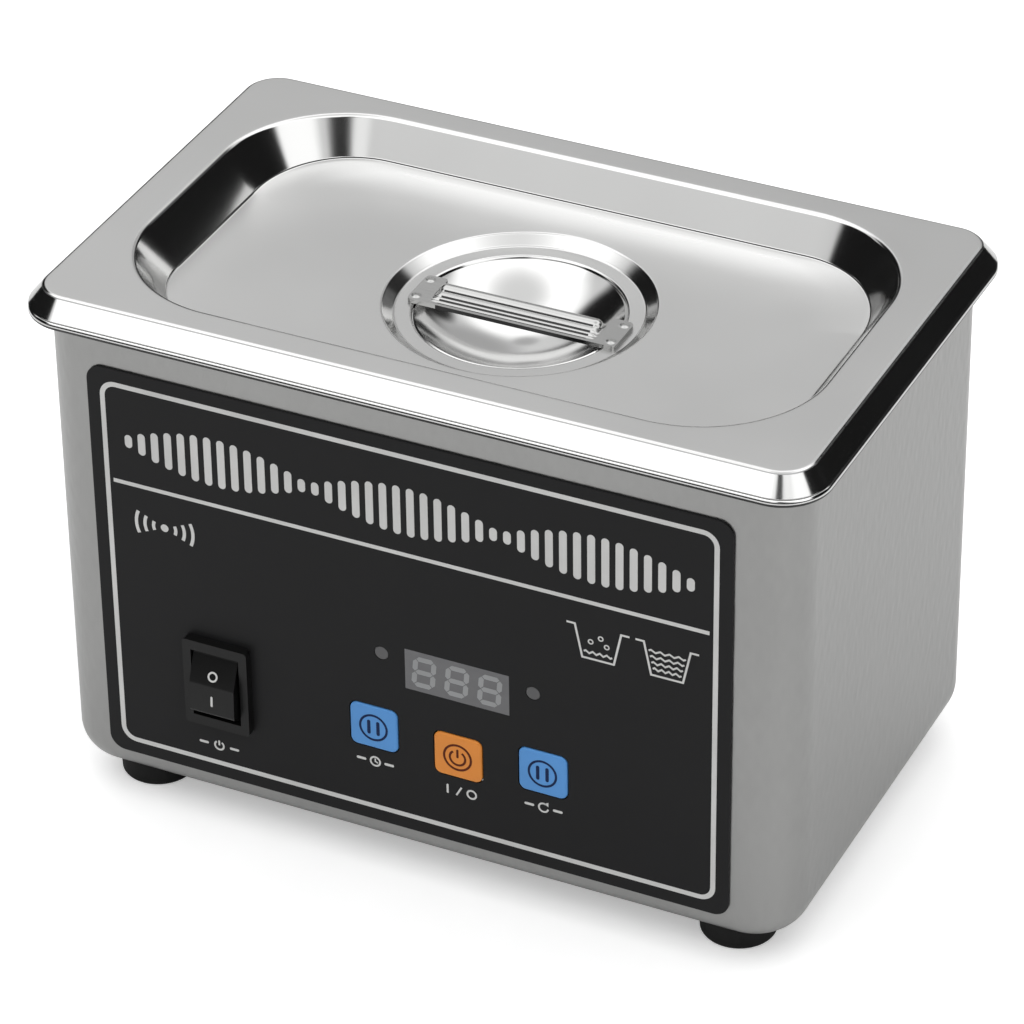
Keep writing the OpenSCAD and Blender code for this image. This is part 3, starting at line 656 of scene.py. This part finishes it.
def round_outline(x, z, half_w, half_h, r, steps=6):
    """A rounded rectangle about (x, z)."""
    points = []
    for sx, sz, start in ((1, 1, 0), (-1, 1, 90), (-1, -1, 180), (1, -1, 270)):
        points += arc(x + sx * (half_w - r), z + sz * (half_h - r), r, start, start + 90, steps)
    return points


def pill(x, z, half_w, half_h):
    """A bar with round ends."""
    return round_outline(x, z, half_w, half_h, min(half_w, half_h) - 0.001, 5)


def on_panel(a, b, h):
    """A point h in front of the panel's face."""
    return a, PANEL_FACE - h, b


def printed(name, shapes, material, to_space=on_panel, raised=0.04, sunk=0.03):
    """Flat shapes standing a hair above the face that they are printed on."""
    bm = bmesh.new()
    for shape in shapes:
        bm.faces.new([bm.verts.new(Vector(to_space(a, b, -sunk)) * MM) for a, b in shape])
    bmesh.ops.remove_doubles(bm, verts=bm.verts, dist=1e-7)
    top = bmesh.ops.extrude_face_region(bm, geom=bm.faces[:])["geom"]
    step = (Vector(to_space(0, 0, raised)) - Vector(to_space(0, 0, -sunk))) * MM
    bmesh.ops.translate(bm, vec=step, verts=[v for v in top if isinstance(v, bmesh.types.BMVert)])
    return add_object(name, bm, material, smooth=False)


def stack(bm, outlines):
    """A closed solid through outlines of the same number of points."""
    loops = [[bm.verts.new(Vector(p) * MM) for p in outline] for outline in outlines]
    for a, b in zip(loops, loops[1:]):
        for k in range(len(a)):
            n = (k + 1) % len(a)
            bm.faces.new((a[k], a[n], b[n], b[k]))
    bm.faces.new(loops[0])
    bm.faces.new(loops[-1])


# ---- Handle ----

strap_lo, strap_hi = box_mm("lid_handle")
# Thickness of the strap, radius of its tabs' corners, and radius and half length of its rib
STRAP_PLATE, TAB_R, RIB_R, RIB_HALF = 0.9, 1.2, 1.7, 16.8
RIB_Y = (strap_lo.y + strap_hi.y) / 2 + 0.6
RIB_X0, RIB_X1 = (strap_lo.x + strap_hi.x) / 2 - RIB_HALF, (strap_lo.x + strap_hi.x) / 2 + RIB_HALF
GROOVES = [strap_lo.y + d for d in (0.9, 1.9, 2.9)]
WELDS = [(x, y) for x in (strap_lo.x + 1.5, strap_hi.x - 1.5) for y in (strap_lo.y + 1.7, strap_hi.y - 1.9)]
STRAP_COLUMNS, STRAP_ROWS = 190, 60


def smooth_step(t):
    """0 below 0, 1 above 1, and an even S between."""
    t = min(1.0, max(0.0, t))
    return t * t * (3 - 2 * t)


def between_tabs(x, reach, width):
    """1 along the rib and reach past its ends, falling to 0 over width."""
    return smooth_step((x - RIB_X0 + reach) / width) * smooth_step((RIB_X1 + reach - x) / width)


def strap_height(x, y):
    """Thickness of the strap: a rib along the back, a grooved slope in front of it, and weld spots."""
    inside = between_tabs(x, 2, 1.6)
    d = math.hypot(max(RIB_X0 - x, 0, x - RIB_X1), y - RIB_Y)
    rib = math.sqrt(RIB_R ** 2 - d * d) if d < RIB_R else 0.0
    front = strap_lo.y
    slope = 0.85 * smooth_step((y - front) / (RIB_Y - RIB_R * 0.6 - front)) * inside if y < RIB_Y else 0.0
    slope -= sum(0.3 * inside * math.exp(-((y - groove) / 0.22) ** 2) for groove in GROOVES)
    spots = sum(0.25 * math.exp(-(((x - a) ** 2 + (y - b) ** 2) / 0.6) ** 2) for a, b in WELDS)
    return STRAP_PLATE + max(rib, slope) + spots


def make_handle():
    """The strap across the dish, as a fine grid over a flat underside."""
    lo, hi = strap_lo, strap_hi
    bm = bmesh.new()
    top, under = [], []
    for i in range(STRAP_COLUMNS + 1):
        x = lo.x + (hi.x - lo.x) * i / STRAP_COLUMNS
        d = max(lo.x + TAB_R - x, 0, x - hi.x + TAB_R)
        trim = TAB_R - math.sqrt(max(TAB_R ** 2 - d * d, 0))
        near = lo.y + trim
        far = hi.y - trim - between_tabs(x, 2.2, 0.8) * (hi.y - RIB_Y - RIB_R - 0.1)
        ys = [near + (far - near) * j / STRAP_ROWS for j in range(STRAP_ROWS + 1)]
        top.append([bm.verts.new(Vector((x, y, lo.z + strap_height(x, y))) * MM) for y in ys])
        under.append([bm.verts.new(Vector((x, y, lo.z)) * MM) for y in ys])
    for i in range(STRAP_COLUMNS):
        for j in range(STRAP_ROWS):
            bm.faces.new((top[i][j], top[i + 1][j], top[i + 1][j + 1], top[i][j + 1]))
            bm.faces.new((under[i][j], under[i][j + 1], under[i + 1][j + 1], under[i + 1][j]))
        for j in (0, STRAP_ROWS):
            bm.faces.new((top[i][j], under[i][j], under[i + 1][j], top[i + 1][j]))
    for i in (0, STRAP_COLUMNS):
        for j in range(STRAP_ROWS):
            bm.faces.new((top[i][j], top[i][j + 1], under[i][j + 1], under[i][j]))
    strap = add_object("handle_strap", bm, M_HANDLE)
    strap.data.set_sharp_from_angle(angle=math.radians(50))
    strap.data.materials.append(M_PAINTED_SHADE)
    # Painted shade: near-black faces in the grooves and on the front edge of the strap
    for face in strap.data.polygons:
        x, y, _ = face.center / MM
        in_groove = min(abs(y - groove) for groove in GROOVES) < 0.1
        if RIB_X0 < x < RIB_X1 and (in_groove or face.normal.y < -0.7):
            face.material_index = 1
    return strap


place(make_handle(), "lid_body", "handle_steel", "lid_handle")


# ---- Switch ----

# Lean of the rocker at rest, in degrees, and its pivot
ROCKER_TILT = -12
PIVOT = Vector(((bezel_lo.x + bezel_hi.x) / 2, -50.0, (bezel_lo.z + bezel_hi.z) / 2))
# The untilted rocker about its pivot: the ridge between its paddles, their ends and half sizes
RIDGE_Y, END_Y, END_Z = -6.5, -5.41, 6.9
ROCKER_HALF_W, ROCKER_HALF_H = 5.2, 7.5
RIDGE_R, PADDLE_END_R, AXLE_R, AXLE_HALF = 1.2, 1.0, 1.2, 6.2


def in_rocker(x, y, z):
    """A point of the untilted rocker, put where the switch stands at rest."""
    return PIVOT + Matrix.Rotation(math.radians(ROCKER_TILT), 3, "X") @ Vector((x, y, z))


def make_rocker():
    """Two flat paddles that meet in a soft ridge, with rounded ends, on a short axle."""
    ridge = arc(RIDGE_Y + RIDGE_R, 0, RIDGE_R, 189, 171, 4)
    upper = arc(END_Y + PADDLE_END_R, END_Z - 0.75, PADDLE_END_R, 170, 100, 5)
    back = [(-3.3, ROCKER_HALF_H), (0, ROCKER_HALF_H), (3, 4), (3.6, 0), (3, -4), (0, -ROCKER_HALF_H),
            (-3.3, -ROCKER_HALF_H)]
    outline = ridge + upper + back + [(y, -z) for y, z in upper[::-1]]
    edge = [(ROCKER_HALF_W - 0.35, 0.3), (ROCKER_HALF_W - 0.1, 0.09), (ROCKER_HALF_W, 0.0)]
    sections = [(-x, inset) for x, inset in edge] + [(x, inset) for x, inset in edge[::-1]]
    bm = bmesh.new()
    stack(bm, [[in_rocker(x, y * (1 + inset / RIDGE_Y), z * (1 - inset / ROCKER_HALF_H)) for y, z in outline]
               for x, inset in sections])
    axle = arc(0, 0, AXLE_R, 0, 360, 24)[:-1]
    stack(bm, [[in_rocker(x, y, z) for y, z in axle] for x in (-AXLE_HALF, AXLE_HALF)])
    rocker = add_object("rocker_paddle", bm, M_SWITCH)
    rocker.data.set_sharp_from_angle(angle=math.radians(40))
    return rocker


def on_paddle(side):
    """Places (across, up the paddle) on the upper or lower paddle of the rocker."""
    slope = Vector((0, END_Y - RIDGE_Y, side * END_Z)).normalized()
    out = Vector((0, -abs(slope.z), side * slope.y))

    def to_space(a, b, h):
        return in_rocker(*(Vector((a, RIDGE_Y, 0)) + slope * b + out * h))
    return to_space


place(make_rocker(), "rocker", "switch_plastic", "power_rocker")
off_mark = printed("rocker_off_mark", stroke(circle(0, 2.2, 0.95), 0.4, closed=True), M_INK, on_paddle(1))
on_mark = printed("rocker_on_mark", [pill(0, 3.6, 0.24, 1.25)], M_INK, on_paddle(-1))
for mark in (off_mark, on_mark):
    place(mark, "rocker", "switch_plastic")


# ---- Push buttons ----

def power_symbol(x, z, r, width):
    """An open ring with a bar in its gap."""
    return stroke(arc(x, z, r, 125, 415, 22), width) + [pill(x, z + r * 0.62, width / 2, r * 0.62)]


# Thickness of a cap, its corner radius, the roundness of its edge, and the radius of the stem
CAP_DEPTH, CAP_R, CAP_ROUND_R, STEM_R = 2.5, 1.6, 0.45, 2.4


def make_button(node, body, material, ink, slot):
    """A soft-edged square cap on a round stem, with its symbol printed on the face."""
    lo, hi = box_mm(node)
    x, z = (lo.x + hi.x) / 2, (lo.z + hi.z) / 2
    half_w, half_h, cap_back, crown = (hi.x - lo.x) / 2, (hi.z - lo.z) / 2, lo.y + CAP_DEPTH, lo.y - 0.05
    rims = [(0.0, cap_back), (0.0, lo.y + CAP_ROUND_R)]
    rims += [(CAP_ROUND_R - a, lo.y + CAP_ROUND_R - b) for a, b in arc(0, 0, CAP_ROUND_R, 0, 90, 5)[1:]]
    rims += [(2.0, lo.y - 0.03), (3.6, crown)]
    outlines = []
    for inset, y in rims:
        flat = round_outline(x, z, half_w - inset, half_h - inset, max(CAP_R - inset, 0.4))
        outlines.append([(a, y, b) for a, b in flat])
    bm = bmesh.new()
    stack(bm, outlines)
    stack(bm, [[(a, y, b) for a, b in circle(x, z, STEM_R)] for y in (cap_back - 0.02, hi.y)])
    cap = add_object(node + "_cap", bm, material)
    cap.data.set_sharp_from_angle(angle=math.radians(45))
    place(weighted(cap), body, slot, node)
    shapes = stroke(circle(x, z, 3.05, 40), 0.5, closed=True)
    if body == "on_off_key":
        shapes += power_symbol(x, z - 0.1, 1.75, 0.5)
    else:
        shapes += [pill(x + s, z, 0.38, 1.75) for s in (-1.05, 1.05)]
    symbol = printed(node + "_symbol", shapes, ink, lambda a, b, h: (a, crown - h, b), raised=0.03)
    place(symbol, body, slot)


make_button("time_button", "time_key", M_BLUE, M_BLUE_INK, "blue_button")
make_button("on_off_button", "on_off_key", M_ORANGE, M_BROWN_INK, "orange_button")
make_button("reset_button", "reset_key", M_BLUE, M_BLUE_INK, "blue_button")


# ---- Panel print ----

RULE_Z = panel_hi.z - 26.85
RULE_HALF = 66.6
BORDER_INSET, BORDER_LINE = 3.5, 1.1
# The row of bars: how many, how far apart, how many to a swell, half height of the smallest and what is added
BARS, BAR_PITCH, BARS_TO_SWELL, BAR_SMALL, BAR_GROWTH = 42, 3.05, 14, 1.0, 4.8
# The two bath symbols: places, width, top and bottom
BATH_SIGNS, SIGN_W, SIGN_TOP, SIGN_BOTTOM = (42.6, 57.6), 6.9, RULE_Z - 5.9, RULE_Z - 13.5


def border_print():
    """The line round the panel and the rule under the bars."""
    middle_z = (panel_lo.z + panel_hi.z) / 2
    half_w = (panel_hi.x - panel_lo.x) / 2 - BORDER_INSET
    half_h = (panel_hi.z - panel_lo.z) / 2 - BORDER_INSET
    border = stroke(round_outline(0, middle_z, half_w, half_h, 3.0, 8), BORDER_LINE, closed=True)
    return border + stroke([(-RULE_HALF, RULE_Z), (RULE_HALF, RULE_Z)], 0.9)


def bars_print():
    """A row of bars that swells and fades three times."""
    bars = []
    for i in range(BARS):
        swell = math.sin(math.pi * (i % BARS_TO_SWELL + 0.5) / BARS_TO_SWELL)
        x = (i - (BARS - 1) / 2) * BAR_PITCH
        bars.append(pill(x, RULE_Z + 10.35, 0.85, BAR_SMALL + BAR_GROWTH * swell))
    return bars


def ripples_print():
    """A dot with three ripples to each side."""
    x, z = -55.2, RULE_Z - 8.85
    shapes = [circle(x, z, 0.9, 16)]
    for r in (2.6, 4.6, 6.6):
        for start in (-24, 156):
            shapes += stroke(arc(x, z, r, start, start + 48, 8), 0.75)
    return shapes


def bath_sign(x, rows):
    """A bath outline with lips and rows of wavy lines in it."""
    left, right = x - SIGN_W / 2, x + SIGN_W / 2
    outline = [(left - 3.4, SIGN_TOP), (left - 1.6, SIGN_TOP), (left, SIGN_BOTTOM)]
    outline += [(right, SIGN_BOTTOM), (right + 1.6, SIGN_TOP), (right + 3.4, SIGN_TOP)]
    shapes = stroke(outline, 0.45)
    for k in range(rows):
        z = SIGN_BOTTOM + 1.5 + 1.4 * k
        reach = SIGN_W / 2 - 0.7 + 0.22 * (z - SIGN_BOTTOM)
        wave = [(x + reach * (i / 8 - 1), z + 0.28 * math.sin(math.pi * i / 2)) for i in range(17)]
        shapes += stroke(wave, 0.4)
    return shapes


def baths_print():
    """A bath with a little liquid under three bubbles, and a full one."""
    low, full = BATH_SIGNS
    shapes = bath_sign(low, 1) + bath_sign(full, 4)
    for dx, dz in ((-1.6, 0), (0.6, 1.3), (1.9, -0.4)):
        shapes += stroke(circle(low + dx, RULE_Z - 9.4 + dz, 0.5, 12), 0.28, closed=True)
    return shapes


def dashes(x, z, reach):
    """A dash to each side of a small mark."""
    return [pill(x + s * reach, z, 1.1, 0.3) for s in (-1, 1)]


def marks_print():
    """Small marks under the switch and the buttons: power, clock, I/O and turn."""
    switch_x, switch_z = PIVOT.x - 1.0, bezel_lo.z - 5.9
    clock_x, io_x, turn_x = (sum((box_mm(name)[0].x, box_mm(name)[1].x)) / 2 for name in BUTTONS)
    side_z, io_z = box_mm("time_button")[0].z - 3.6, box_mm("on_off_button")[0].z - 3.6
    power = power_symbol(switch_x, switch_z, 1.05, 0.42) + dashes(switch_x, switch_z, 3.6)
    clock = stroke(circle(clock_x, side_z, 1.1, 20), 0.4, closed=True)
    clock += stroke([(clock_x, side_z + 0.75), (clock_x, side_z), (clock_x + 0.6, side_z - 0.3)], 0.3)
    clock += dashes(clock_x, side_z, 3.2)
    in_out = [pill(io_x - 2.6, io_z, 0.24, 1.15)]
    in_out += stroke([(io_x - 0.6, io_z - 1.1), (io_x + 0.6, io_z + 1.1)], 0.4)
    in_out += stroke(circle(io_x + 2.9, io_z, 1.0, 20), 0.42, closed=True)
    turn = stroke(arc(turn_x, side_z, 1.05, 60, 350, 18), 0.4)
    turn += [[(turn_x + a, side_z + b) for a, b in ((0.2, 1.05), (1.1, 1.55), (1.1, 0.45))]]
    turn += dashes(turn_x, side_z, 3.2)
    return power + clock + in_out + turn


for name, shapes in (("print_border", border_print()), ("print_bars", bars_print()),
                     ("print_ripples", ripples_print()), ("print_bath_symbols", baths_print()),
                     ("print_small_marks", marks_print())):
    place(printed(name, shapes, M_INK), "base", "panel_film")


# ---- Display ----

# Distance apart, width, height, line and slant of the digits, and the gap at a segment's end
DIGIT_PITCH, DIGIT_W, DIGIT_H, DIGIT_LINE, DIGIT_SLANT, SEGMENT_GAP = 7.4, 5.3, 7.5, 1.15, 0.09, 0.12


def digit(x, z):
    """The seven segments of one unlit digit, leaning a little."""
    t, gap = DIGIT_LINE / 2, SEGMENT_GAP
    w, h = DIGIT_W / 2 - t, DIGIT_H / 2 - t
    ends = [((-w, h), (w, h)), ((-w, 0), (w, 0)), ((-w, -h), (w, -h)),
            ((-w, 0), (-w, h)), ((w, 0), (w, h)), ((-w, -h), (-w, 0)), ((w, -h), (w, 0))]
    shapes = []
    for (ax, az), (bx, bz) in ends:
        length = math.hypot(bx - ax, bz - az)
        ux, uz = (bx - ax) / length, (bz - az) / length
        upper = [(gap, 0), (gap + t, t), (length - gap - t, t), (length - gap, 0)]
        local = upper + [(length - gap - t, -t), (gap + t, -t)]
        points = [(ax + ux * p - uz * q, az + uz * p + ux * q) for p, q in local]
        shapes.append([(x + a + DIGIT_SLANT * b, z + b) for a, b in points])
    return shapes


def display_digits():
    """Three digits in the middle of the window."""
    x, z = (window_lo.x + window_hi.x) / 2, (window_lo.z + window_hi.z) / 2
    shapes = [segment for i in (-1, 0, 1) for segment in digit(x + DIGIT_PITCH * i, z)]
    place(printed("display_digits", shapes, M_GREY_INK, raised=0.02), "base", "display_lens")


display_digits()


# ---- Kept CAD nodes ----

def keep(node, material, bevel):
    """Gives a CAD node its material, softened edges and flat faces that stay flat."""
    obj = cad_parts[node]
    for spot in obj.material_slots:
        spot.link = "OBJECT"
        spot.material = material
    if bevel:
        weld = obj.modifiers.new("weld", "WELD")
        weld.merge_threshold = 0.00001
        mod = obj.modifiers.new("bevel", "BEVEL")
        mod.width = bevel * MM
        mod.segments = 2
        mod.limit_method = "ANGLE"
        mod.angle_limit = math.radians(40)
        mod.harden_normals = False
        weighted(obj)


# Each kept node with its material and the width of its softened edges
KEPT = [
    ("bottom_cover", M_COVER, 0.1), ("rim_seal", M_SILICONE, 0.2), ("front_panel", M_PANEL, 0.12),
    ("display_window", M_WINDOW, 0.08), ("display_module", M_BLACK, 0.2), ("indicator_leds", M_LED, 0.3),
    ("control_board", M_BOARD, 0.1), ("tact_switches", M_BLACK, 0.15), ("board_pillars", M_PLATED, 0.1),
    ("switch_body", M_SWITCH, 0.3), ("switch_terminals", M_BRASS, 0.1),
    ("transducer_horn", M_ALUMINIUM, 0.3), ("piezo_rings", M_CERAMIC, 0.2),
    ("transducer_electrodes", M_COPPER, 0.05), ("transducer_back_mass", M_MASS, 0.3),
    ("transducer_bolt", M_PLATED, 0.3), ("bolt_sleeve", M_WHITE, 0.1),
    ("driver_board", M_BOARD, 0.1), ("board_standoffs", M_BRASS, 0.15), ("board_screws", M_PLATED, 0.2),
    ("transformer_core", M_FERRITE, 0.3), ("transformer_winding", M_ENAMEL, 0.5),
    ("heat_sink", M_ALUMINIUM, 0.2), ("power_transistors", M_BLACK, 0.1),
    ("filter_capacitors", M_SLEEVE, 0.4), ("toroid_inductor", M_ENAMEL, 0), ("mains_fuse", M_WHITE, 0.2),
    ("terminal_block", M_GREEN, 0.3), ("power_inlet", M_BLACK, 0), ("inlet_pins", M_BRASS, 0.2),
    ("inlet_screws", M_PLATED, 0.3), ("earth_stud", M_BRASS, 0.1), ("mains_wires", M_RED, 0),
    ("switch_wires", M_RED, 0), ("earth_wire", M_EARTH, 0), ("transducer_wires", M_WHITE, 0),
    ("display_cable", M_GREY, 0), ("foot_screws", M_PLATED, 0.15), ("foot_nuts", M_PLATED, 0.2)]
KEPT += [(f"{side}_{end}_foot", M_RUBBER, 0.3) for side in ("left", "right") for end in ("front", "rear")]
for node, material, bevel in KEPT:
    keep(node, material, bevel)


# ---- Stage, light and camera ----

FLOOR_GLOW, FLOOR_RADIUS = 0.36, 1.6
# Strength of the studio's low walls, upper walls and ceiling, and the heights where one fades into the next
LOW_WALL, MIDDLE_WALL, CEILING = 0.012, 0.94, 1.8
WALL_FADE, CEILING_FADE = (0.32, 0.46), (0.62, 0.8)
# Direction, inner and outer angle in degrees, and strength of each part of the studio that stands out;
# a later one lies over an earlier one
PATCHES = [
    ((-0.3, -0.45, 0.84), 21, 25, 1.9),  # broad soft light, front left
    ((0.8, -0.25, 0.57), 15, 24, 1.6),  # broad soft light, right
    ((0.1, -0.85, 0.53), 3, 12, 1.3),  # small light in front
    ((-0.364, 0.66, 0.655), 2, 8, 0.6),  # dimmer spot high at the back
    ((-0.1, 0.9, 0.45), 6, 22, 0.55),  # dimmer back wall
    ((0.85, 0.3, 0.42), 18, 23, 0.012),  # dark screen, right
    ((-0.85, -0.4, 0.42), 14, 19, 0.012),  # dark screen, front left
    ((-0.85, 0.35, 0.45), 12, 22, 0.012),  # dark screen, back left
    ((0.364, -0.751, 0.551), 4, 13, 0.03),  # the dark camera
    ((0.2, -0.69, 0.7), 4, 8, 0.03),  # the dark hood above it
    ((0, 0, 1), 3, 26, 1.05),  # dimmer middle of the ceiling
    ((0.36, 0.8, 0.46), 7, 14, 0.03)]  # dark screen, back right

# Place of the camera in metres, its turn in degrees, and its lens in millimetres on a 36 mm sensor
CAMERA_PLACE = (0.38596, -0.79933, 0.64695)
CAMERA_AZIMUTH, CAMERA_ELEVATION, CAMERA_ROLL = 25.855, 33.442, -0.77
CAMERA_LENS, CAMERA_SENSOR = 177.74, 36.0


def make_floor():
    """A plain pale floor, which glows a little where the camera looks at it."""
    m = Nodes("studio_floor")
    grain = m.noise(m.place(), 90.0, 2.0)
    seen = m.add("ShaderNodeLightPath").outputs["Is Camera Ray"]
    m.set(Base_Color=m.tone(grain, (0.93, 0.93, 0.93), (0.95, 0.95, 0.95)), Roughness=0.5,
          Emission_Color=(1, 1, 1, 1), Emission_Strength=m.calc("MULTIPLY", seen, FLOOR_GLOW))
    bm = bmesh.new()
    bmesh.ops.create_circle(bm, cap_ends=True, segments=96, radius=FLOOR_RADIUS)
    floor = add_object("studio_floor", bm, m.material)


def make_world():
    """The only light: dark low studio walls, pale above, and the patches. The camera sees plain white."""
    world = bpy.data.worlds.new("studio")
    bpy.context.scene.world = world
    world.use_nodes = True
    tree = world.node_tree
    new, link = tree.nodes.new, tree.links.new
    sight = new("ShaderNodeTexCoord").outputs["Generated"]

    def ramp(value, low, high):
        """0 below low, 1 above high."""
        node = new("ShaderNodeMapRange")
        node.interpolation_type = "SMOOTHSTEP"
        link(value, node.inputs["Value"])
        node.inputs["From Min"].default_value = low
        node.inputs["From Max"].default_value = high
        return node.outputs["Result"]

    def patch(direction, inner, outer):
        """1 within inner degrees of a direction, 0 beyond outer degrees."""
        node = new("ShaderNodeVectorMath")
        node.operation = "DOT_PRODUCT"
        link(sight, node.inputs[0])
        node.inputs[1].default_value = Vector(direction).normalized()
        return ramp(node.outputs["Value"], math.cos(math.radians(outer)), math.cos(math.radians(inner)))

    def blend(below, factor, value):
        """The strength below, covered by value as far as factor says."""
        node = new("ShaderNodeMix")
        node.data_type = "FLOAT"
        link(factor, node.inputs[0])
        if isinstance(below, bpy.types.NodeSocket):
            link(below, node.inputs[2])
        else:
            node.inputs[2].default_value = below
        node.inputs[3].default_value = value
        return node.outputs[0]

    split = new("ShaderNodeSeparateXYZ")
    link(sight, split.inputs[0])
    tone = blend(LOW_WALL, ramp(split.outputs["Z"], *WALL_FADE), MIDDLE_WALL)
    tone = blend(tone, ramp(split.outputs["Z"], *CEILING_FADE), CEILING)
    for direction, inner, outer, value in PATCHES:
        tone = blend(tone, patch(direction, inner, outer), value)
    studio = tree.nodes["Background"]
    link(tone, studio.inputs["Strength"])
    seen = new("ShaderNodeBackground")
    seen.inputs["Strength"].default_value = 1.0
    path = new("ShaderNodeLightPath")
    both = new("ShaderNodeMixShader")
    link(path.outputs["Is Camera Ray"], both.inputs[0])
    link(studio.outputs[0], both.inputs[1])
    link(seen.outputs[0], both.inputs[2])
    studio.inputs["Color"].default_value = (1, 1, 1, 1)
    seen.inputs["Color"].default_value = (1, 1, 1, 1)
    link(both.outputs[0], tree.nodes["World Output"].inputs["Surface"])


def make_camera():
    """A long lens from the front right and above."""
    data = bpy.data.cameras.new("camera")
    data.sensor_width = CAMERA_SENSOR
    data.lens = CAMERA_LENS
    camera = bpy.data.objects.new("camera", data)
    azimuth, tilt, roll = (math.radians(a) for a in (CAMERA_AZIMUTH, 90 - CAMERA_ELEVATION, CAMERA_ROLL))
    turn = Matrix.Rotation(azimuth, 4, "Z") @ Matrix.Rotation(tilt, 4, "X") @ Matrix.Rotation(roll, 4, "Z")
    camera.matrix_world = Matrix.Translation(CAMERA_PLACE) @ turn
    bpy.context.scene.collection.objects.link(camera)
    bpy.context.scene.camera = camera


make_floor()
make_world()
make_camera()
bpy.context.scene.view_settings.view_transform = "Standard"
